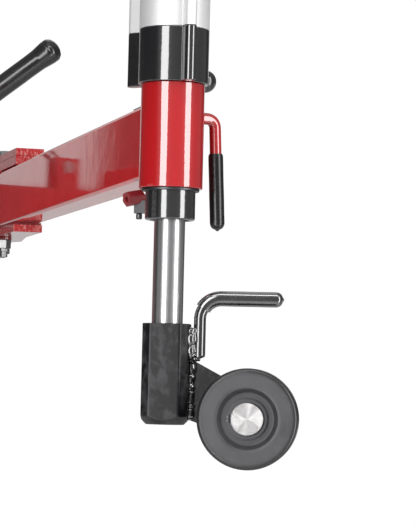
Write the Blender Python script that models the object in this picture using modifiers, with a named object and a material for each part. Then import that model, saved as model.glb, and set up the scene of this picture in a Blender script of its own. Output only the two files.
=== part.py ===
"""Swinging press arm: a bearing bracket carries a long box-section arm, whose outer end holds an upright
air cylinder with a rod, and a steel block, a pressing roller and a turning crank on the rod's lower end.

Frame: metres, +Z up. The origin is the centre of the mounting flange's outer face, which faces -X.
The bracket runs along +X to the swing pivot. The arm is modelled along +X of its own frame, which stands
on the pivot axis and is turned to the stored position.
"""
import math

import bmesh
import bpy
from mathutils import Euler, Matrix, Vector

# ---------------------------------------------------------------- driving sizes
GAP = 0.0003                 # between pieces that touch
RUNNING = 0.0003             # radial clearance of what turns or slides

FLANGE_SIZE = 0.140
FLANGE_THICKNESS = 0.012
FLANGE_CORNER = 0.014
FLANGE_HOLE_SPACING = 0.105
FLANGE_HOLE_RADIUS = 0.0065

PIVOT_X = 0.260              # flange face to swing axis
LINK_WIDTH = 0.050
LINK_HEIGHT = 0.060
LINK_WALL = 0.004
KNUCKLE_RADIUS = 0.028
PIVOT_BOLT_RADIUS = 0.010
PIVOT_BUSH_WALL = 0.0045
PIVOT_BUSH_LENGTH = 0.022
PIVOT_BUSH_FLANGE = 0.002

ARM_LENGTH = 1.000           # swing axis to rod axis
ARM_ANGLE = math.radians(-74.3)   # direction of the arm from the pivot, seen from above
ARM_WIDTH = 0.040
ARM_HEIGHT = 0.080
ARM_WALL = 0.004
ARM_CORNER = 0.004
ARM_TUBE_START = 0.098       # pivot axis to the tube's end

FORK_LENGTH = 0.222          # pivot axis to the plates' square end
FORK_EYE_RADIUS = 0.034
FORK_PLATE = 0.0104
FORK_DOUBLER = 0.0123
FORK_SPACER = 0.0026
STOP_BOLT_PLACE = (0.088, -0.009)
STOP_BOLT_RADIUS = 0.006
STOP_BOLT_TAIL = 0.0287      # how far the bolts' ends show under the lower plate
PIVOT_BOLT_TAIL = 0.025
BOLT_CROWN = 0.006           # domed middle that stands in the pivot bolt's head
PIVOT_FLATS = 0.030
PIVOT_HEAD = 0.0125
PIVOT_NUT = 0.016
PIVOT_WASHER = (0.0185, 0.003)   # radius, thickness
STOP_FLATS = 0.019
STOP_HEAD = 0.0075
STOP_NUT = 0.0125
STOP_NUT_FLATS = 0.0185
STOP_COLLAR = (0.0086, 0.0172)   # radius of the nut's collar, nut's whole height with it
STOP_WASHER = (0.0114, 0.0034)
SPACER_HALF_WIDTH = 0.0190
SPACER_INSET = 0.0015

SLEEVE_RADIUS = 0.0336
SLEEVE_BOTTOM = -0.0537
SLEEVE_TOP = 0.0562
RING_RADIUS = 0.0304
RING_HEIGHT = 0.0025
BUSH_RADIUS = 0.0264
BUSH_SHOWING = 0.0333        # how far the guide bush stands out under the sleeve
BUSH_TOP = 0.052
WIPER_HEIGHT = 0.005
WIPER_WALL = 0.0041
ROD_RADIUS = 0.0163

CAP_HEIGHT = 0.0575          # lower cap between sleeve and barrel
BARREL_RADIUS = 0.0372
BARREL_WALL = 0.0057
BARREL_BORE = BARREL_RADIUS - BARREL_WALL
BARREL_LENGTH = 0.331
RIB_RADIUS = 0.0062          # a rib's nose is round
RIBS = ((24.0, 0.0122), (-124.0, 0.0211), (138.0, 0.0122))   # degrees from -Y towards +X, how far out it stands
RIB_HOLE_RADIUS = 0.0027
SPIGOT_HEIGHT = 0.010
TOP_CAP_HEIGHT = 0.043
CAP_SCREW_RADIUS = 0.0024
CAP_SCREW_HEAD_RADIUS = 0.0042
CAP_SCREW_HEAD = 0.005
PORT_RADIUS = 0.0066
PORT_DEPTH = 0.012

ROD_TO_BLOCK = -0.1955       # height of the block's top with the rod as stored
BLOCK_SIZE = 0.0486
BLOCK_CHAMFER = 0.0082
BLOCK_HEIGHT = 0.1055
BLOCK_CONE_RADIUS = 0.020
BLOCK_BORE_DEPTH = 0.030
PISTON_REST = 0.325          # height of the piston's underside with the rod as stored
PISTON_HEIGHT = 0.030
PISTON_SEAL_HEIGHT = 0.005
PISTON_SEAL_DEPTH = 0.0032
ROD_SPIGOT_RADIUS = 0.010
ROD_NUT_HEIGHT = 0.014
ROD_NUT_FLATS = 0.030
ROD_TURN = math.radians(-4.5)     # stored position of the rod about its axis

ROLLER_REACH = 0.0887        # rod axis to roller axis
ROLLER_HEIGHT = -0.2928
ROLLER_RADIUS = 0.0523
ROLLER_WIDTH = 0.038
ROLLER_FILLET = 0.0047
ROLLER_RECESS_RADIUS = 0.0328
ROLLER_FLOOR_RADIUS = 0.0276
ROLLER_RECESS_DEPTH = 0.008
AXLE_RADIUS = 0.0169
AXLE_SPIGOT_RADIUS = 0.0117
AXLE_END_PROUD = 0.0072      # how far the axle end stands out of the recess floor
ROLLER_BUSH_WALL = 0.003
ROLLER_BUSH_LENGTH = 0.014
ROLLER_BUSH_FLANGE = 0.0015
ROLLER_BUSH_FLANGE_RADIUS = 0.0215
CIRCLIP_WALL = 0.003
CIRCLIP_THICKNESS = 0.0015
SPACER_THICKNESS = 0.0036
PLATE_THICKNESS = 0.010
PLATE_EYE_RADIUS = 0.0246
PLATE_TOP = -0.2315
PLATE_BOTTOM = -0.2955

CRANK_BAR_RADIUS = 0.0063
CRANK_STAND = 0.0107         # block's side to the middle of the crank's upright bar
CRANK_REACH = BLOCK_SIZE / 2 + CRANK_STAND
CRANK_FOOT = -0.2315
CRANK_GRIP_HEIGHT = -0.1684
CRANK_TIP = 0.1226
CRANK_BEND = 0.022
CRANK_SIDE = -0.0065         # the bar's place across the block
GRIP_WALL = 0.0016

PULL_BAR_RADIUS = 0.0063
PULL_HEIGHT = 0.0238
PULL_DIRECTION = math.radians(30.0)
PULL_BEND = 0.0176
PULL_REACH = 0.0521          # rod axis to the bar where it turns down
PULL_LEAN = math.radians(3.05)
PULL_GRIP_TOP = -0.0130
PULL_GRIP_LENGTH = 0.0823

LEVER_PIN_X = 0.112
LEVER_PIN_Z = 0.0638
LEVER_PIN_RADIUS = 0.006
LEVER_ANGLE = math.radians(38.0)
LEVER_LENGTH = 0.2885        # pin axis to the grip's tip
LEVER_BAR_RADIUS = 0.008
LEVER_BOSS_RADIUS = 0.014
LEVER_BOSS_WIDTH = 0.020
LEVER_GRIP_RADIUS = 0.0160
LEVER_GRIP_FLARE = 0.0186
LEVER_GRIP_LENGTH = 0.145
BRACKET_EAR = 0.006
BRACKET_BASE = 0.004
BRACKET_LENGTH = 0.038

VALVE_SIZE = (0.044, 0.029, 0.036)
VALVE_PLACE = (0.925, 0.0050)     # centre of the valve on the arm
VALVE_PLATE = 0.0015
VALVE_PLATE_SIZE = (0.060, 0.0345)
VALVE_PLATE_BACK = 0.0060     # plate's middle behind the valve's
VALVE_PLATE_INSET = 0.0045   # arm's side to the plate's edge
VALVE_SCREW_RADIUS = 0.0020
VALVE_SCREW_HEAD = 0.0060
VALVE_SCREWS = ((-0.002, 0.0032), (-0.0290, 0.0155))   # from the valve's middle, from the plate's edge
VALVE_FITTING_LENGTH = 0.018
VALVE_LEVER_X = 0.9416
VALVE_LEVER_HUB = 0.0062
VALVE_LEVER_RADIUS = 0.004
BALL_REACH = 0.051           # arm centre line to ball centre
BALL_HEIGHT = 0.0704
BALL_RADIUS = 0.0123

PORT_BLOCK_SIZE = (0.020, 0.020, 0.022)
PORT_BLOCK_PLACE = (-0.017, 0.071)
HEX_FLATS = 0.0148
HEX_END = (-0.0482, 0.0575, -0.0612)    # centre of the fitting's outer end
HEX_RISE = math.radians(12.0)
HEX_YAW = math.radians(35.0)
HEX_SOCKET = (0.0030, 0.005)     # radius, depth
FLOW_BODY = (0.0124, 0.014)
FLOW_BODY_X = 0.0143             # beyond the fitting's end
FLOW_BODY_BOTTOM = -0.0750
FLOW_BODY_SADDLE = 0.0042         # fitting's axis to the body's top, which is cut round the fitting
FLOW_SCREW_RADIUS = 0.0033
FLOW_SCREW_LENGTH = 0.0064

ROUND = 32                   # steps round a large turned piece
SMALL = 16
TINY = 12

# ---------------------------------------------------------------- derived heights
KNUCKLE_TOP_FACE = ARM_HEIGHT / 2 + GAP          # underside of the doubler
LOWER_PLATE_TOP = -ARM_HEIGHT / 2 - FORK_SPACER - 2 * GAP
UPPER_PLATE_BOTTOM = KNUCKLE_TOP_FACE + FORK_DOUBLER + GAP
UPPER_PLATE_TOP = UPPER_PLATE_BOTTOM + FORK_PLATE
LOWER_PLATE_BOTTOM = LOWER_PLATE_TOP - FORK_PLATE
CAP_BOTTOM = SLEEVE_TOP + GAP
BARREL_BOTTOM = CAP_BOTTOM + CAP_HEIGHT + GAP
BARREL_TOP = BARREL_BOTTOM + BARREL_LENGTH
TOP_CAP_BOTTOM = BARREL_TOP + GAP
TOP_CAP_TOP = TOP_CAP_BOTTOM + TOP_CAP_HEIGHT
BUSH_BOTTOM = SLEEVE_BOTTOM - BUSH_SHOWING
BLOCK_BOTTOM = ROD_TO_BLOCK - BLOCK_HEIGHT
PIVOT_BUSH_RADIUS = PIVOT_BOLT_RADIUS + RUNNING + PIVOT_BUSH_WALL
ROLLER_BUSH_RADIUS = AXLE_RADIUS + RUNNING + ROLLER_BUSH_WALL
ROLLER_BACK = SPACER_THICKNESS + 3 * GAP + ROLLER_BUSH_FLANGE   # plate face to the roller's rear face
ROLLER_FRONT = ROLLER_BACK + ROLLER_WIDTH
ROLLER_FLOOR = ROLLER_FRONT - ROLLER_RECESS_DEPTH


# ---------------------------------------------------------------- scene and tools
def clear_scene():
    for thing in list(bpy.data.objects):
        bpy.data.objects.remove(thing, do_unlink=True)


clear_scene()
parts = bpy.data.collections.new("press_arm")
cutters = bpy.data.collections.new("cutters")
bpy.context.scene.collection.children.link(parts)
bpy.context.scene.collection.children.link(cutters)


def finish_material(name, colour, roughness, metallic=0.0):
    made = bpy.data.materials.new(name)
    made.use_nodes = True
    shader = made.node_tree.nodes["Principled BSDF"]
    shader.inputs["Base Color"].default_value = (*colour, 1.0)
    shader.inputs["Roughness"].default_value = roughness
    shader.inputs["Metallic"].default_value = metallic
    return made


RED = ("red_paint", (0.62, 0.020, 0.025), 0.25, 0.0)
DARK_RED = ("dark_red_paint", (0.20, 0.02, 0.02), 0.40, 0.0)
BLACK_GLOSS = ("black_gloss_paint", (0.012, 0.012, 0.013), 0.22, 0.0)
BLACK_SATIN = ("black_satin_paint", (0.020, 0.020, 0.022), 0.42, 0.0)
BLACK_OXIDE = ("black_oxide_steel", (0.05, 0.05, 0.055), 0.40, 0.8)
ALUMINIUM = ("anodised_aluminium", (0.78, 0.79, 0.80), 0.38, 0.9)
CHROME = ("hard_chrome", (0.75, 0.75, 0.76), 0.10, 1.0)
ZINC = ("zinc_plated_steel", (0.55, 0.56, 0.58), 0.30, 1.0)
STEEL = ("turned_steel", (0.66, 0.66, 0.66), 0.25, 1.0)
BRONZE = ("sintered_bronze", (0.50, 0.34, 0.16), 0.45, 1.0)
BRASS = ("nickel_brass", (0.66, 0.60, 0.45), 0.28, 1.0)
RUBBER = ("seal_rubber", (0.02, 0.02, 0.02), 0.60, 0.0)
VINYL = ("black_vinyl", (0.022, 0.022, 0.024), 0.30, 0.0)
NYLON = ("dark_nylon", (0.10, 0.10, 0.11), 0.42, 0.0)
GREY_PLASTIC = ("grey_plastic", (0.18, 0.18, 0.19), 0.45, 0.0)
PHENOLIC = ("black_phenolic", (0.010, 0.010, 0.010), 0.15, 0.0)


def frame(name, location, rotation_z=0.0, parent=None):
    """An empty that stands on a joint axis or carries a group of pieces."""
    empty = bpy.data.objects.new(name, None)
    parts.objects.link(empty)
    empty.parent = parent
    empty.location = location
    empty.rotation_euler = Euler((0.0, 0.0, rotation_z))
    return empty


def place(name, data, finish, parent=None, location=(0, 0, 0), rotation=(0, 0, 0), collection=parts):
    piece = bpy.data.objects.new(name, data)
    collection.objects.link(piece)
    piece.parent = parent
    piece.location = location
    piece.rotation_euler = Euler(rotation)
    if finish is not None:
        data.materials.append(finish_material(*finish))
    return piece


def solid_copy(source):
    """The evaluated mesh of an object, welded, with no modifiers."""
    bpy.context.view_layer.update()
    graph = bpy.context.evaluated_depsgraph_get()
    mesh = bpy.data.meshes.new_from_object(source.evaluated_get(graph))
    mesh.materials.clear()
    work = bmesh.new()
    work.from_mesh(mesh)
    bmesh.ops.remove_doubles(work, verts=work.verts, dist=0.000002)
    bmesh.ops.recalc_face_normals(work, faces=work.faces)
    work.to_mesh(mesh)
    work.free()
    return mesh


def as_mesh(source, name, finish):
    """Replaces a curve or turned object by a mesh object in the same place."""
    mesh = solid_copy(source)
    made = place(name, mesh, finish, source.parent, source.location, source.rotation_euler)
    data = source.data
    bpy.data.objects.remove(source, do_unlink=True)
    if isinstance(data, bpy.types.Curve):
        bpy.data.curves.remove(data)
    return made


def combine(piece, other, operation="DIFFERENCE", solver="EXACT"):
    """Boolean of piece with other; other is kept as a hidden cutter."""
    if other.name not in cutters.objects:
        for home in other.users_collection:
            home.objects.unlink(other)
        cutters.objects.link(other)
    other.hide_render = True
    other.display_type = "WIRE"
    change = piece.modifiers.new(operation.lower(), "BOOLEAN")
    change.operation = operation
    change.solver = solver
    change.object = other
    return piece


def shade(piece):
    """Smooth shading with sharp corners kept."""
    if piece.type == "MESH":
        piece.data.shade_smooth()
        piece.data.set_sharp_from_angle(angle=math.radians(35))
    return piece


def box(name, low, high, finish, parent=None, bevel=0.0, collection=parts):
    work = bmesh.new()
    bmesh.ops.create_cube(work, size=1.0)
    size = Vector(high) - Vector(low)
    middle = (Vector(high) + Vector(low)) / 2
    stretch = Matrix.Diagonal((*size, 1.0))
    bmesh.ops.transform(work, verts=work.verts, matrix=Matrix.Translation(middle) @ stretch)
    mesh = bpy.data.meshes.new(name)
    work.to_mesh(mesh)
    work.free()
    piece = place(name, mesh, finish, parent, collection=collection)
    if bevel:
        edge = piece.modifiers.new("edges", "BEVEL")
        edge.width = bevel
        edge.segments = 2
        edge.limit_method = "ANGLE"
    return piece


def cylinder(name, radius, low, high, finish, parent=None, location=(0, 0, 0), rotation=(0, 0, 0),
             sides=SMALL, collection=parts):
    """Straight cylinder or prism along its own Z, from low to high."""
    work = bmesh.new()
    bmesh.ops.create_cone(work, cap_ends=True, cap_tris=False, segments=sides,
                          radius1=radius, radius2=radius, depth=high - low)
    bmesh.ops.translate(work, verts=work.verts, vec=(0, 0, (high + low) / 2))
    mesh = bpy.data.meshes.new(name)
    work.to_mesh(mesh)
    work.free()
    return shade(place(name, mesh, finish, parent, location, rotation, collection))


def turned(name, profile, finish, parent=None, location=(0, 0, 0), rotation=(0, 0, 0),
           closed=False, steps=ROUND, collection=parts):
    """(radius, height) points turned about Z, running down the outer side; a closed profile is a ring."""
    mesh = bpy.data.meshes.new(name)
    count = len(profile)
    edges = [(i, i + 1) for i in range(count - 1)]
    if closed:
        edges.append((count - 1, 0))
    mesh.from_pydata([(r, 0.0, z) for r, z in profile], edges, [])
    piece = place(name, mesh, finish, parent, location, rotation, collection)
    screw = piece.modifiers.new("turn", "SCREW")
    screw.axis = "Z"
    screw.angle = 2 * math.pi
    screw.steps = steps
    screw.render_steps = steps
    screw.use_merge_vertices = True
    screw.merge_threshold = 0.000001
    screw.use_smooth_shade = True
    return piece


def ring(name, outer, inner, low, high, finish, parent=None, **options):
    """Plain turned ring."""
    profile = [(outer, high), (outer, low), (inner, low), (inner, high)]
    return turned(name, profile, finish, parent, closed=True, **options)


def arc(centre, radius, start, end, count):
    """Points on an arc, angles in degrees, both ends included."""
    points = []
    for i in range(count + 1):
        angle = math.radians(start + (end - start) * i / count)
        points.append((centre[0] + radius * math.cos(angle), centre[1] + radius * math.sin(angle)))
    return points


def circle(centre, radius, count):
    return arc(centre, radius, 0.0, 360.0 * (count - 1) / count, count - 1)


def rounded_rectangle(width, height, corner, count=5):
    """Outline centred on the origin, counterclockwise."""
    x = width / 2 - corner
    y = height / 2 - corner
    outline = []
    for cx, cy, start in ((x, y, 0), (-x, y, 90), (-x, -y, 180), (x, -y, 270)):
        outline += arc((cx, cy), corner, start, start + 90, count)
    return outline


def prism(name, outlines, low, high, finish, parent=None, location=(0, 0, 0), rotation=(0, 0, 0),
          collection=parts):
    """Flat outline, the first outer and the others holes, given thickness along its own Z."""
    curve = bpy.data.curves.new(name, "CURVE")
    curve.dimensions = "2D"
    curve.fill_mode = "BOTH"
    curve.extrude = (high - low) / 2
    for outline in outlines:
        spline = curve.splines.new("POLY")
        spline.points.add(len(outline) - 1)
        for point, (x, y) in zip(spline.points, outline):
            point.co = (x, y, 0.0, 1.0)
        spline.use_cyclic_u = True
    drawn = place(name + "_outline", curve, None, parent)
    mesh = solid_copy(drawn)
    mesh.transform(Matrix.Translation((0, 0, (high + low) / 2)))
    bpy.data.objects.remove(drawn, do_unlink=True)
    bpy.data.curves.remove(curve)
    return shade(place(name, mesh, finish, parent, location, rotation, collection))


def tube(name, points, radius, finish, parent=None, factors=None, resolution=4, collection=parts):
    """Round bar along a list of points, with filled ends; factors scale the radius point by point."""
    curve = bpy.data.curves.new(name, "CURVE")
    curve.dimensions = "3D"
    curve.bevel_depth = radius
    curve.bevel_resolution = resolution
    curve.use_fill_caps = True
    spline = curve.splines.new("POLY")
    spline.points.add(len(points) - 1)
    for i, (point, place_at) in enumerate(zip(spline.points, points)):
        point.co = (*place_at, 1.0)
        point.radius = factors[i] if factors else 1.0
    return place(name, curve, finish, parent, collection=collection)


def grip(name, points, radius, bar_radius, factors, finish, parent):
    """Vinyl sleeve over a bar: a tube along the bar with a blind hole for it."""
    outer = as_mesh(tube(name + "_outer", points, radius, None, parent, factors), name, finish)
    first = Vector(points[0])
    lead = (first - Vector(points[1])).normalized() * 0.002
    inside = [tuple(first + lead)] + list(points[:-3])
    bore = tube(name + "_hole", inside, bar_radius + GAP, None, parent)
    cutter = as_mesh(bore, name + "_bore", None)
    combine(outer, cutter)
    return shade(outer)


def hexagon(flats, turn=0.0):
    radius = flats / math.sqrt(3)
    return [(radius * math.cos(math.radians(60 * i + turn)), radius * math.sin(math.radians(60 * i + turn)))
            for i in range(6)]


# ---------------------------------------------------------------- bracket that stays still
ACROSS_X = (math.pi / 2, 0.0, math.pi / 2)       # a prism's x, y, z become Y, Z, X
ACROSS_Y = (math.pi / 2, 0.0, 0.0)               # a prism's x, y, z become X, Z, -Y


def build_bracket():
    half = FLANGE_HOLE_SPACING / 2
    holes = [circle((sx * half, sz * half), FLANGE_HOLE_RADIUS, TINY) for sx in (-1, 1) for sz in (-1, 1)]
    prism("mounting_flange", [rounded_rectangle(FLANGE_SIZE, FLANGE_SIZE, FLANGE_CORNER)] + holes,
          0.0, FLANGE_THICKNESS, RED, rotation=ACROSS_X)

    reach = 0.6 * math.sqrt((KNUCKLE_RADIUS + GAP) ** 2 - (LINK_WIDTH / 2) ** 2)   # inside the saddle cut
    outer = rounded_rectangle(LINK_WIDTH, LINK_HEIGHT, ARM_CORNER)
    inner = rounded_rectangle(LINK_WIDTH - 2 * LINK_WALL, LINK_HEIGHT - 2 * LINK_WALL, ARM_CORNER / 2)
    link = prism("link_tube", [outer, inner], FLANGE_THICKNESS + GAP, PIVOT_X - reach, RED, rotation=ACROSS_X)
    saddle = cylinder("link_saddle", KNUCKLE_RADIUS + GAP, -LINK_HEIGHT, LINK_HEIGHT, None,
                      location=(PIVOT_X, 0, 0), sides=ROUND, collection=cutters)
    combine(link, saddle, solver="MANIFOLD")     # the exact solver loses a wall of a hollow tube here

    top = KNUCKLE_TOP_FACE - GAP - PIVOT_BUSH_FLANGE
    bottom = LOWER_PLATE_TOP + GAP + PIVOT_BUSH_FLANGE
    at = (PIVOT_X, 0, 0)
    ring("knuckle", KNUCKLE_RADIUS, PIVOT_BUSH_RADIUS + GAP, bottom + GAP, top - GAP, RED, location=at)
    bore = PIVOT_BOLT_RADIUS + RUNNING
    flange_radius = PIVOT_BUSH_RADIUS + 0.006
    upper = [(flange_radius, top + PIVOT_BUSH_FLANGE), (flange_radius, top), (PIVOT_BUSH_RADIUS, top),
             (PIVOT_BUSH_RADIUS, top - PIVOT_BUSH_LENGTH), (bore, top - PIVOT_BUSH_LENGTH),
             (bore, top + PIVOT_BUSH_FLANGE)]
    turned("knuckle_bush_upper", upper, BRONZE, location=at, closed=True)
    lower = [(PIVOT_BUSH_RADIUS, bottom + PIVOT_BUSH_LENGTH), (PIVOT_BUSH_RADIUS, bottom),
             (flange_radius, bottom), (flange_radius, bottom - PIVOT_BUSH_FLANGE),
             (bore, bottom - PIVOT_BUSH_FLANGE), (bore, bottom + PIVOT_BUSH_LENGTH)]
    turned("knuckle_bush_lower", lower, BRONZE, location=at, closed=True)


def build_lever_bracket():
    base = LINK_HEIGHT / 2 + GAP
    inside = LEVER_BOSS_WIDTH / 2 + GAP
    outside = inside + BRACKET_EAR
    top = LEVER_PIN_Z + LEVER_BOSS_RADIUS
    floor = base + BRACKET_BASE
    outline = [(-outside, base), (outside, base), (outside, top), (inside, top), (inside, floor),
               (-inside, floor), (-inside, top), (-outside, top)]
    start = LEVER_PIN_X - BRACKET_LENGTH / 2
    bracket = prism("lever_bracket", [outline], start, start + BRACKET_LENGTH, RED, rotation=ACROSS_X)
    across = dict(location=(LEVER_PIN_X, 0, LEVER_PIN_Z), rotation=ACROSS_Y)
    hole = cylinder("lever_bracket_hole", LEVER_PIN_RADIUS + GAP, -0.05, 0.05, None, collection=cutters,
                    sides=SMALL, **across)
    combine(bracket, hole)
    head = outside + GAP
    pin = [(0, head + 0.005), (0.010, head + 0.005), (0.010, head), (LEVER_PIN_RADIUS, head),
           (LEVER_PIN_RADIUS, -head - 0.004), (0, -head - 0.004)]
    turned("lever_pin", pin, ZINC, steps=SMALL, **across)


# ---------------------------------------------------------------- arm
def fork_outline():
    """Square end, straight neck, and an eye round the pivot that the neck runs into on tangents."""
    half = ARM_WIDTH / 2
    eye = arc((0, 0), FORK_EYE_RADIUS, 75, 285, 24)
    return [(FORK_LENGTH, -half), (FORK_LENGTH, half), (0.100, half + 0.001)] + eye + [(0.100, -half - 0.001)]


def build_arm(arm):
    reach = 0.8 * math.sqrt((SLEEVE_RADIUS + GAP) ** 2 - (ARM_WIDTH / 2) ** 2)   # inside the saddle cut
    outer = rounded_rectangle(ARM_WIDTH, ARM_HEIGHT, ARM_CORNER)
    inner = rounded_rectangle(ARM_WIDTH - 2 * ARM_WALL, ARM_HEIGHT - 2 * ARM_WALL, ARM_CORNER / 2)
    beam = prism("arm_tube", [outer, inner], ARM_TUBE_START, ARM_LENGTH - reach, RED, arm, rotation=ACROSS_X)
    saddle = cylinder("arm_saddle", SLEEVE_RADIUS + GAP, -ARM_HEIGHT, ARM_HEIGHT, None, arm,
                      location=(ARM_LENGTH, 0, 0), sides=ROUND, collection=cutters)
    combine(beam, saddle, solver="MANIFOLD")     # as on the bracket's tube

    holes = [circle((0, 0), PIVOT_BOLT_RADIUS + GAP, SMALL),
             circle(STOP_BOLT_PLACE, STOP_BOLT_RADIUS + GAP, TINY)]
    prism("fork_doubler", [fork_outline()] + holes,
          KNUCKLE_TOP_FACE, KNUCKLE_TOP_FACE + FORK_DOUBLER, RED, arm)
    prism("fork_plate_upper", [fork_outline()] + holes, UPPER_PLATE_BOTTOM, UPPER_PLATE_TOP, RED, arm)
    prism("fork_plate_lower", [fork_outline()] + holes, LOWER_PLATE_BOTTOM, LOWER_PLATE_TOP, RED, arm)
    box("fork_spacer", (ARM_TUBE_START + 0.012, -SPACER_HALF_WIDTH, LOWER_PLATE_TOP + GAP),
        (FORK_LENGTH - SPACER_INSET, SPACER_HALF_WIDTH, -ARM_HEIGHT / 2 - GAP), DARK_RED, arm)

    head = UPPER_PLATE_TOP + GAP
    foot = LOWER_PLATE_BOTTOM - GAP
    bolt = cylinder("pivot_bolt", PIVOT_BOLT_RADIUS, foot - PIVOT_BOLT_TAIL, head + BOLT_CROWN, ZINC, arm)
    cap = prism("pivot_bolt_head", [hexagon(PIVOT_FLATS)], head, head + PIVOT_HEAD,
                None, arm, collection=cutters)
    combine(bolt, cap, "UNION")
    washer, thick = PIVOT_WASHER
    inner = PIVOT_BOLT_RADIUS + GAP
    ring("pivot_washer", washer, inner, foot - thick, foot, ZINC, arm, steps=SMALL)
    nut_top = foot - thick - GAP
    prism("pivot_nut", [hexagon(PIVOT_FLATS), circle((0, 0), inner, SMALL)], nut_top - PIVOT_NUT, nut_top,
          ZINC, arm)

    at = (*STOP_BOLT_PLACE, 0)
    bolt = cylinder("stop_bolt", STOP_BOLT_RADIUS, foot - STOP_BOLT_TAIL, head + STOP_HEAD / 2, ZINC, arm, at,
                    sides=TINY)
    cap = prism("stop_bolt_head", [hexagon(STOP_FLATS)], head, head + STOP_HEAD,
                None, arm, at, collection=cutters)
    combine(bolt, cap, "UNION")
    washer, thick = STOP_WASHER
    inner = STOP_BOLT_RADIUS + GAP
    ring("stop_washer", washer, inner, foot - thick, foot, DARK_RED, arm, location=at, steps=SMALL)
    nut_top = foot - thick - GAP
    nut = prism("stop_nut", [hexagon(STOP_NUT_FLATS, 12), circle((0, 0), inner, TINY)],
                nut_top - STOP_NUT, nut_top, ZINC, arm, at)
    collar_radius, whole = STOP_COLLAR
    collar = ring("stop_nut_collar", collar_radius, inner, nut_top - whole, nut_top - STOP_NUT * 0.9,
                  None, arm, location=at, steps=TINY, collection=cutters)
    combine(nut, collar, "UNION")


# ---------------------------------------------------------------- cylinder at the arm's end
def barrel_outline():
    """Round body with three ribs whose flanks run straight out to a round nose."""
    spread = math.degrees(math.asin(RIB_RADIUS / BARREL_RADIUS))
    starts = sorted(((angle - 90.0) % 360.0, BARREL_RADIUS + stand) for angle, stand in RIBS)
    outline = []
    for index, (centre, reach) in enumerate(starts):
        turn = Matrix.Rotation(math.radians(centre), 2)
        nose = arc((reach - RIB_RADIUS, 0.0), RIB_RADIUS, -90, 90, 8)
        outline += [tuple(turn @ Vector(point)) for point in nose]
        following = starts[(index + 1) % len(starts)][0]
        if following <= centre:
            following += 360.0
        steps = max(6, round((following - centre) / 7.0))
        outline += arc((0, 0), BARREL_RADIUS, centre + spread, following - spread, steps)
    return outline


def rib_places():
    """Centres of the rib noses, where the cap screws go."""
    places = []
    for angle, stand in RIBS:
        reach = BARREL_RADIUS + stand
        turn = math.radians(angle - 90.0)
        places.append(((reach - RIB_RADIUS) * math.cos(turn), (reach - RIB_RADIUS) * math.sin(turn)))
    return places


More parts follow.
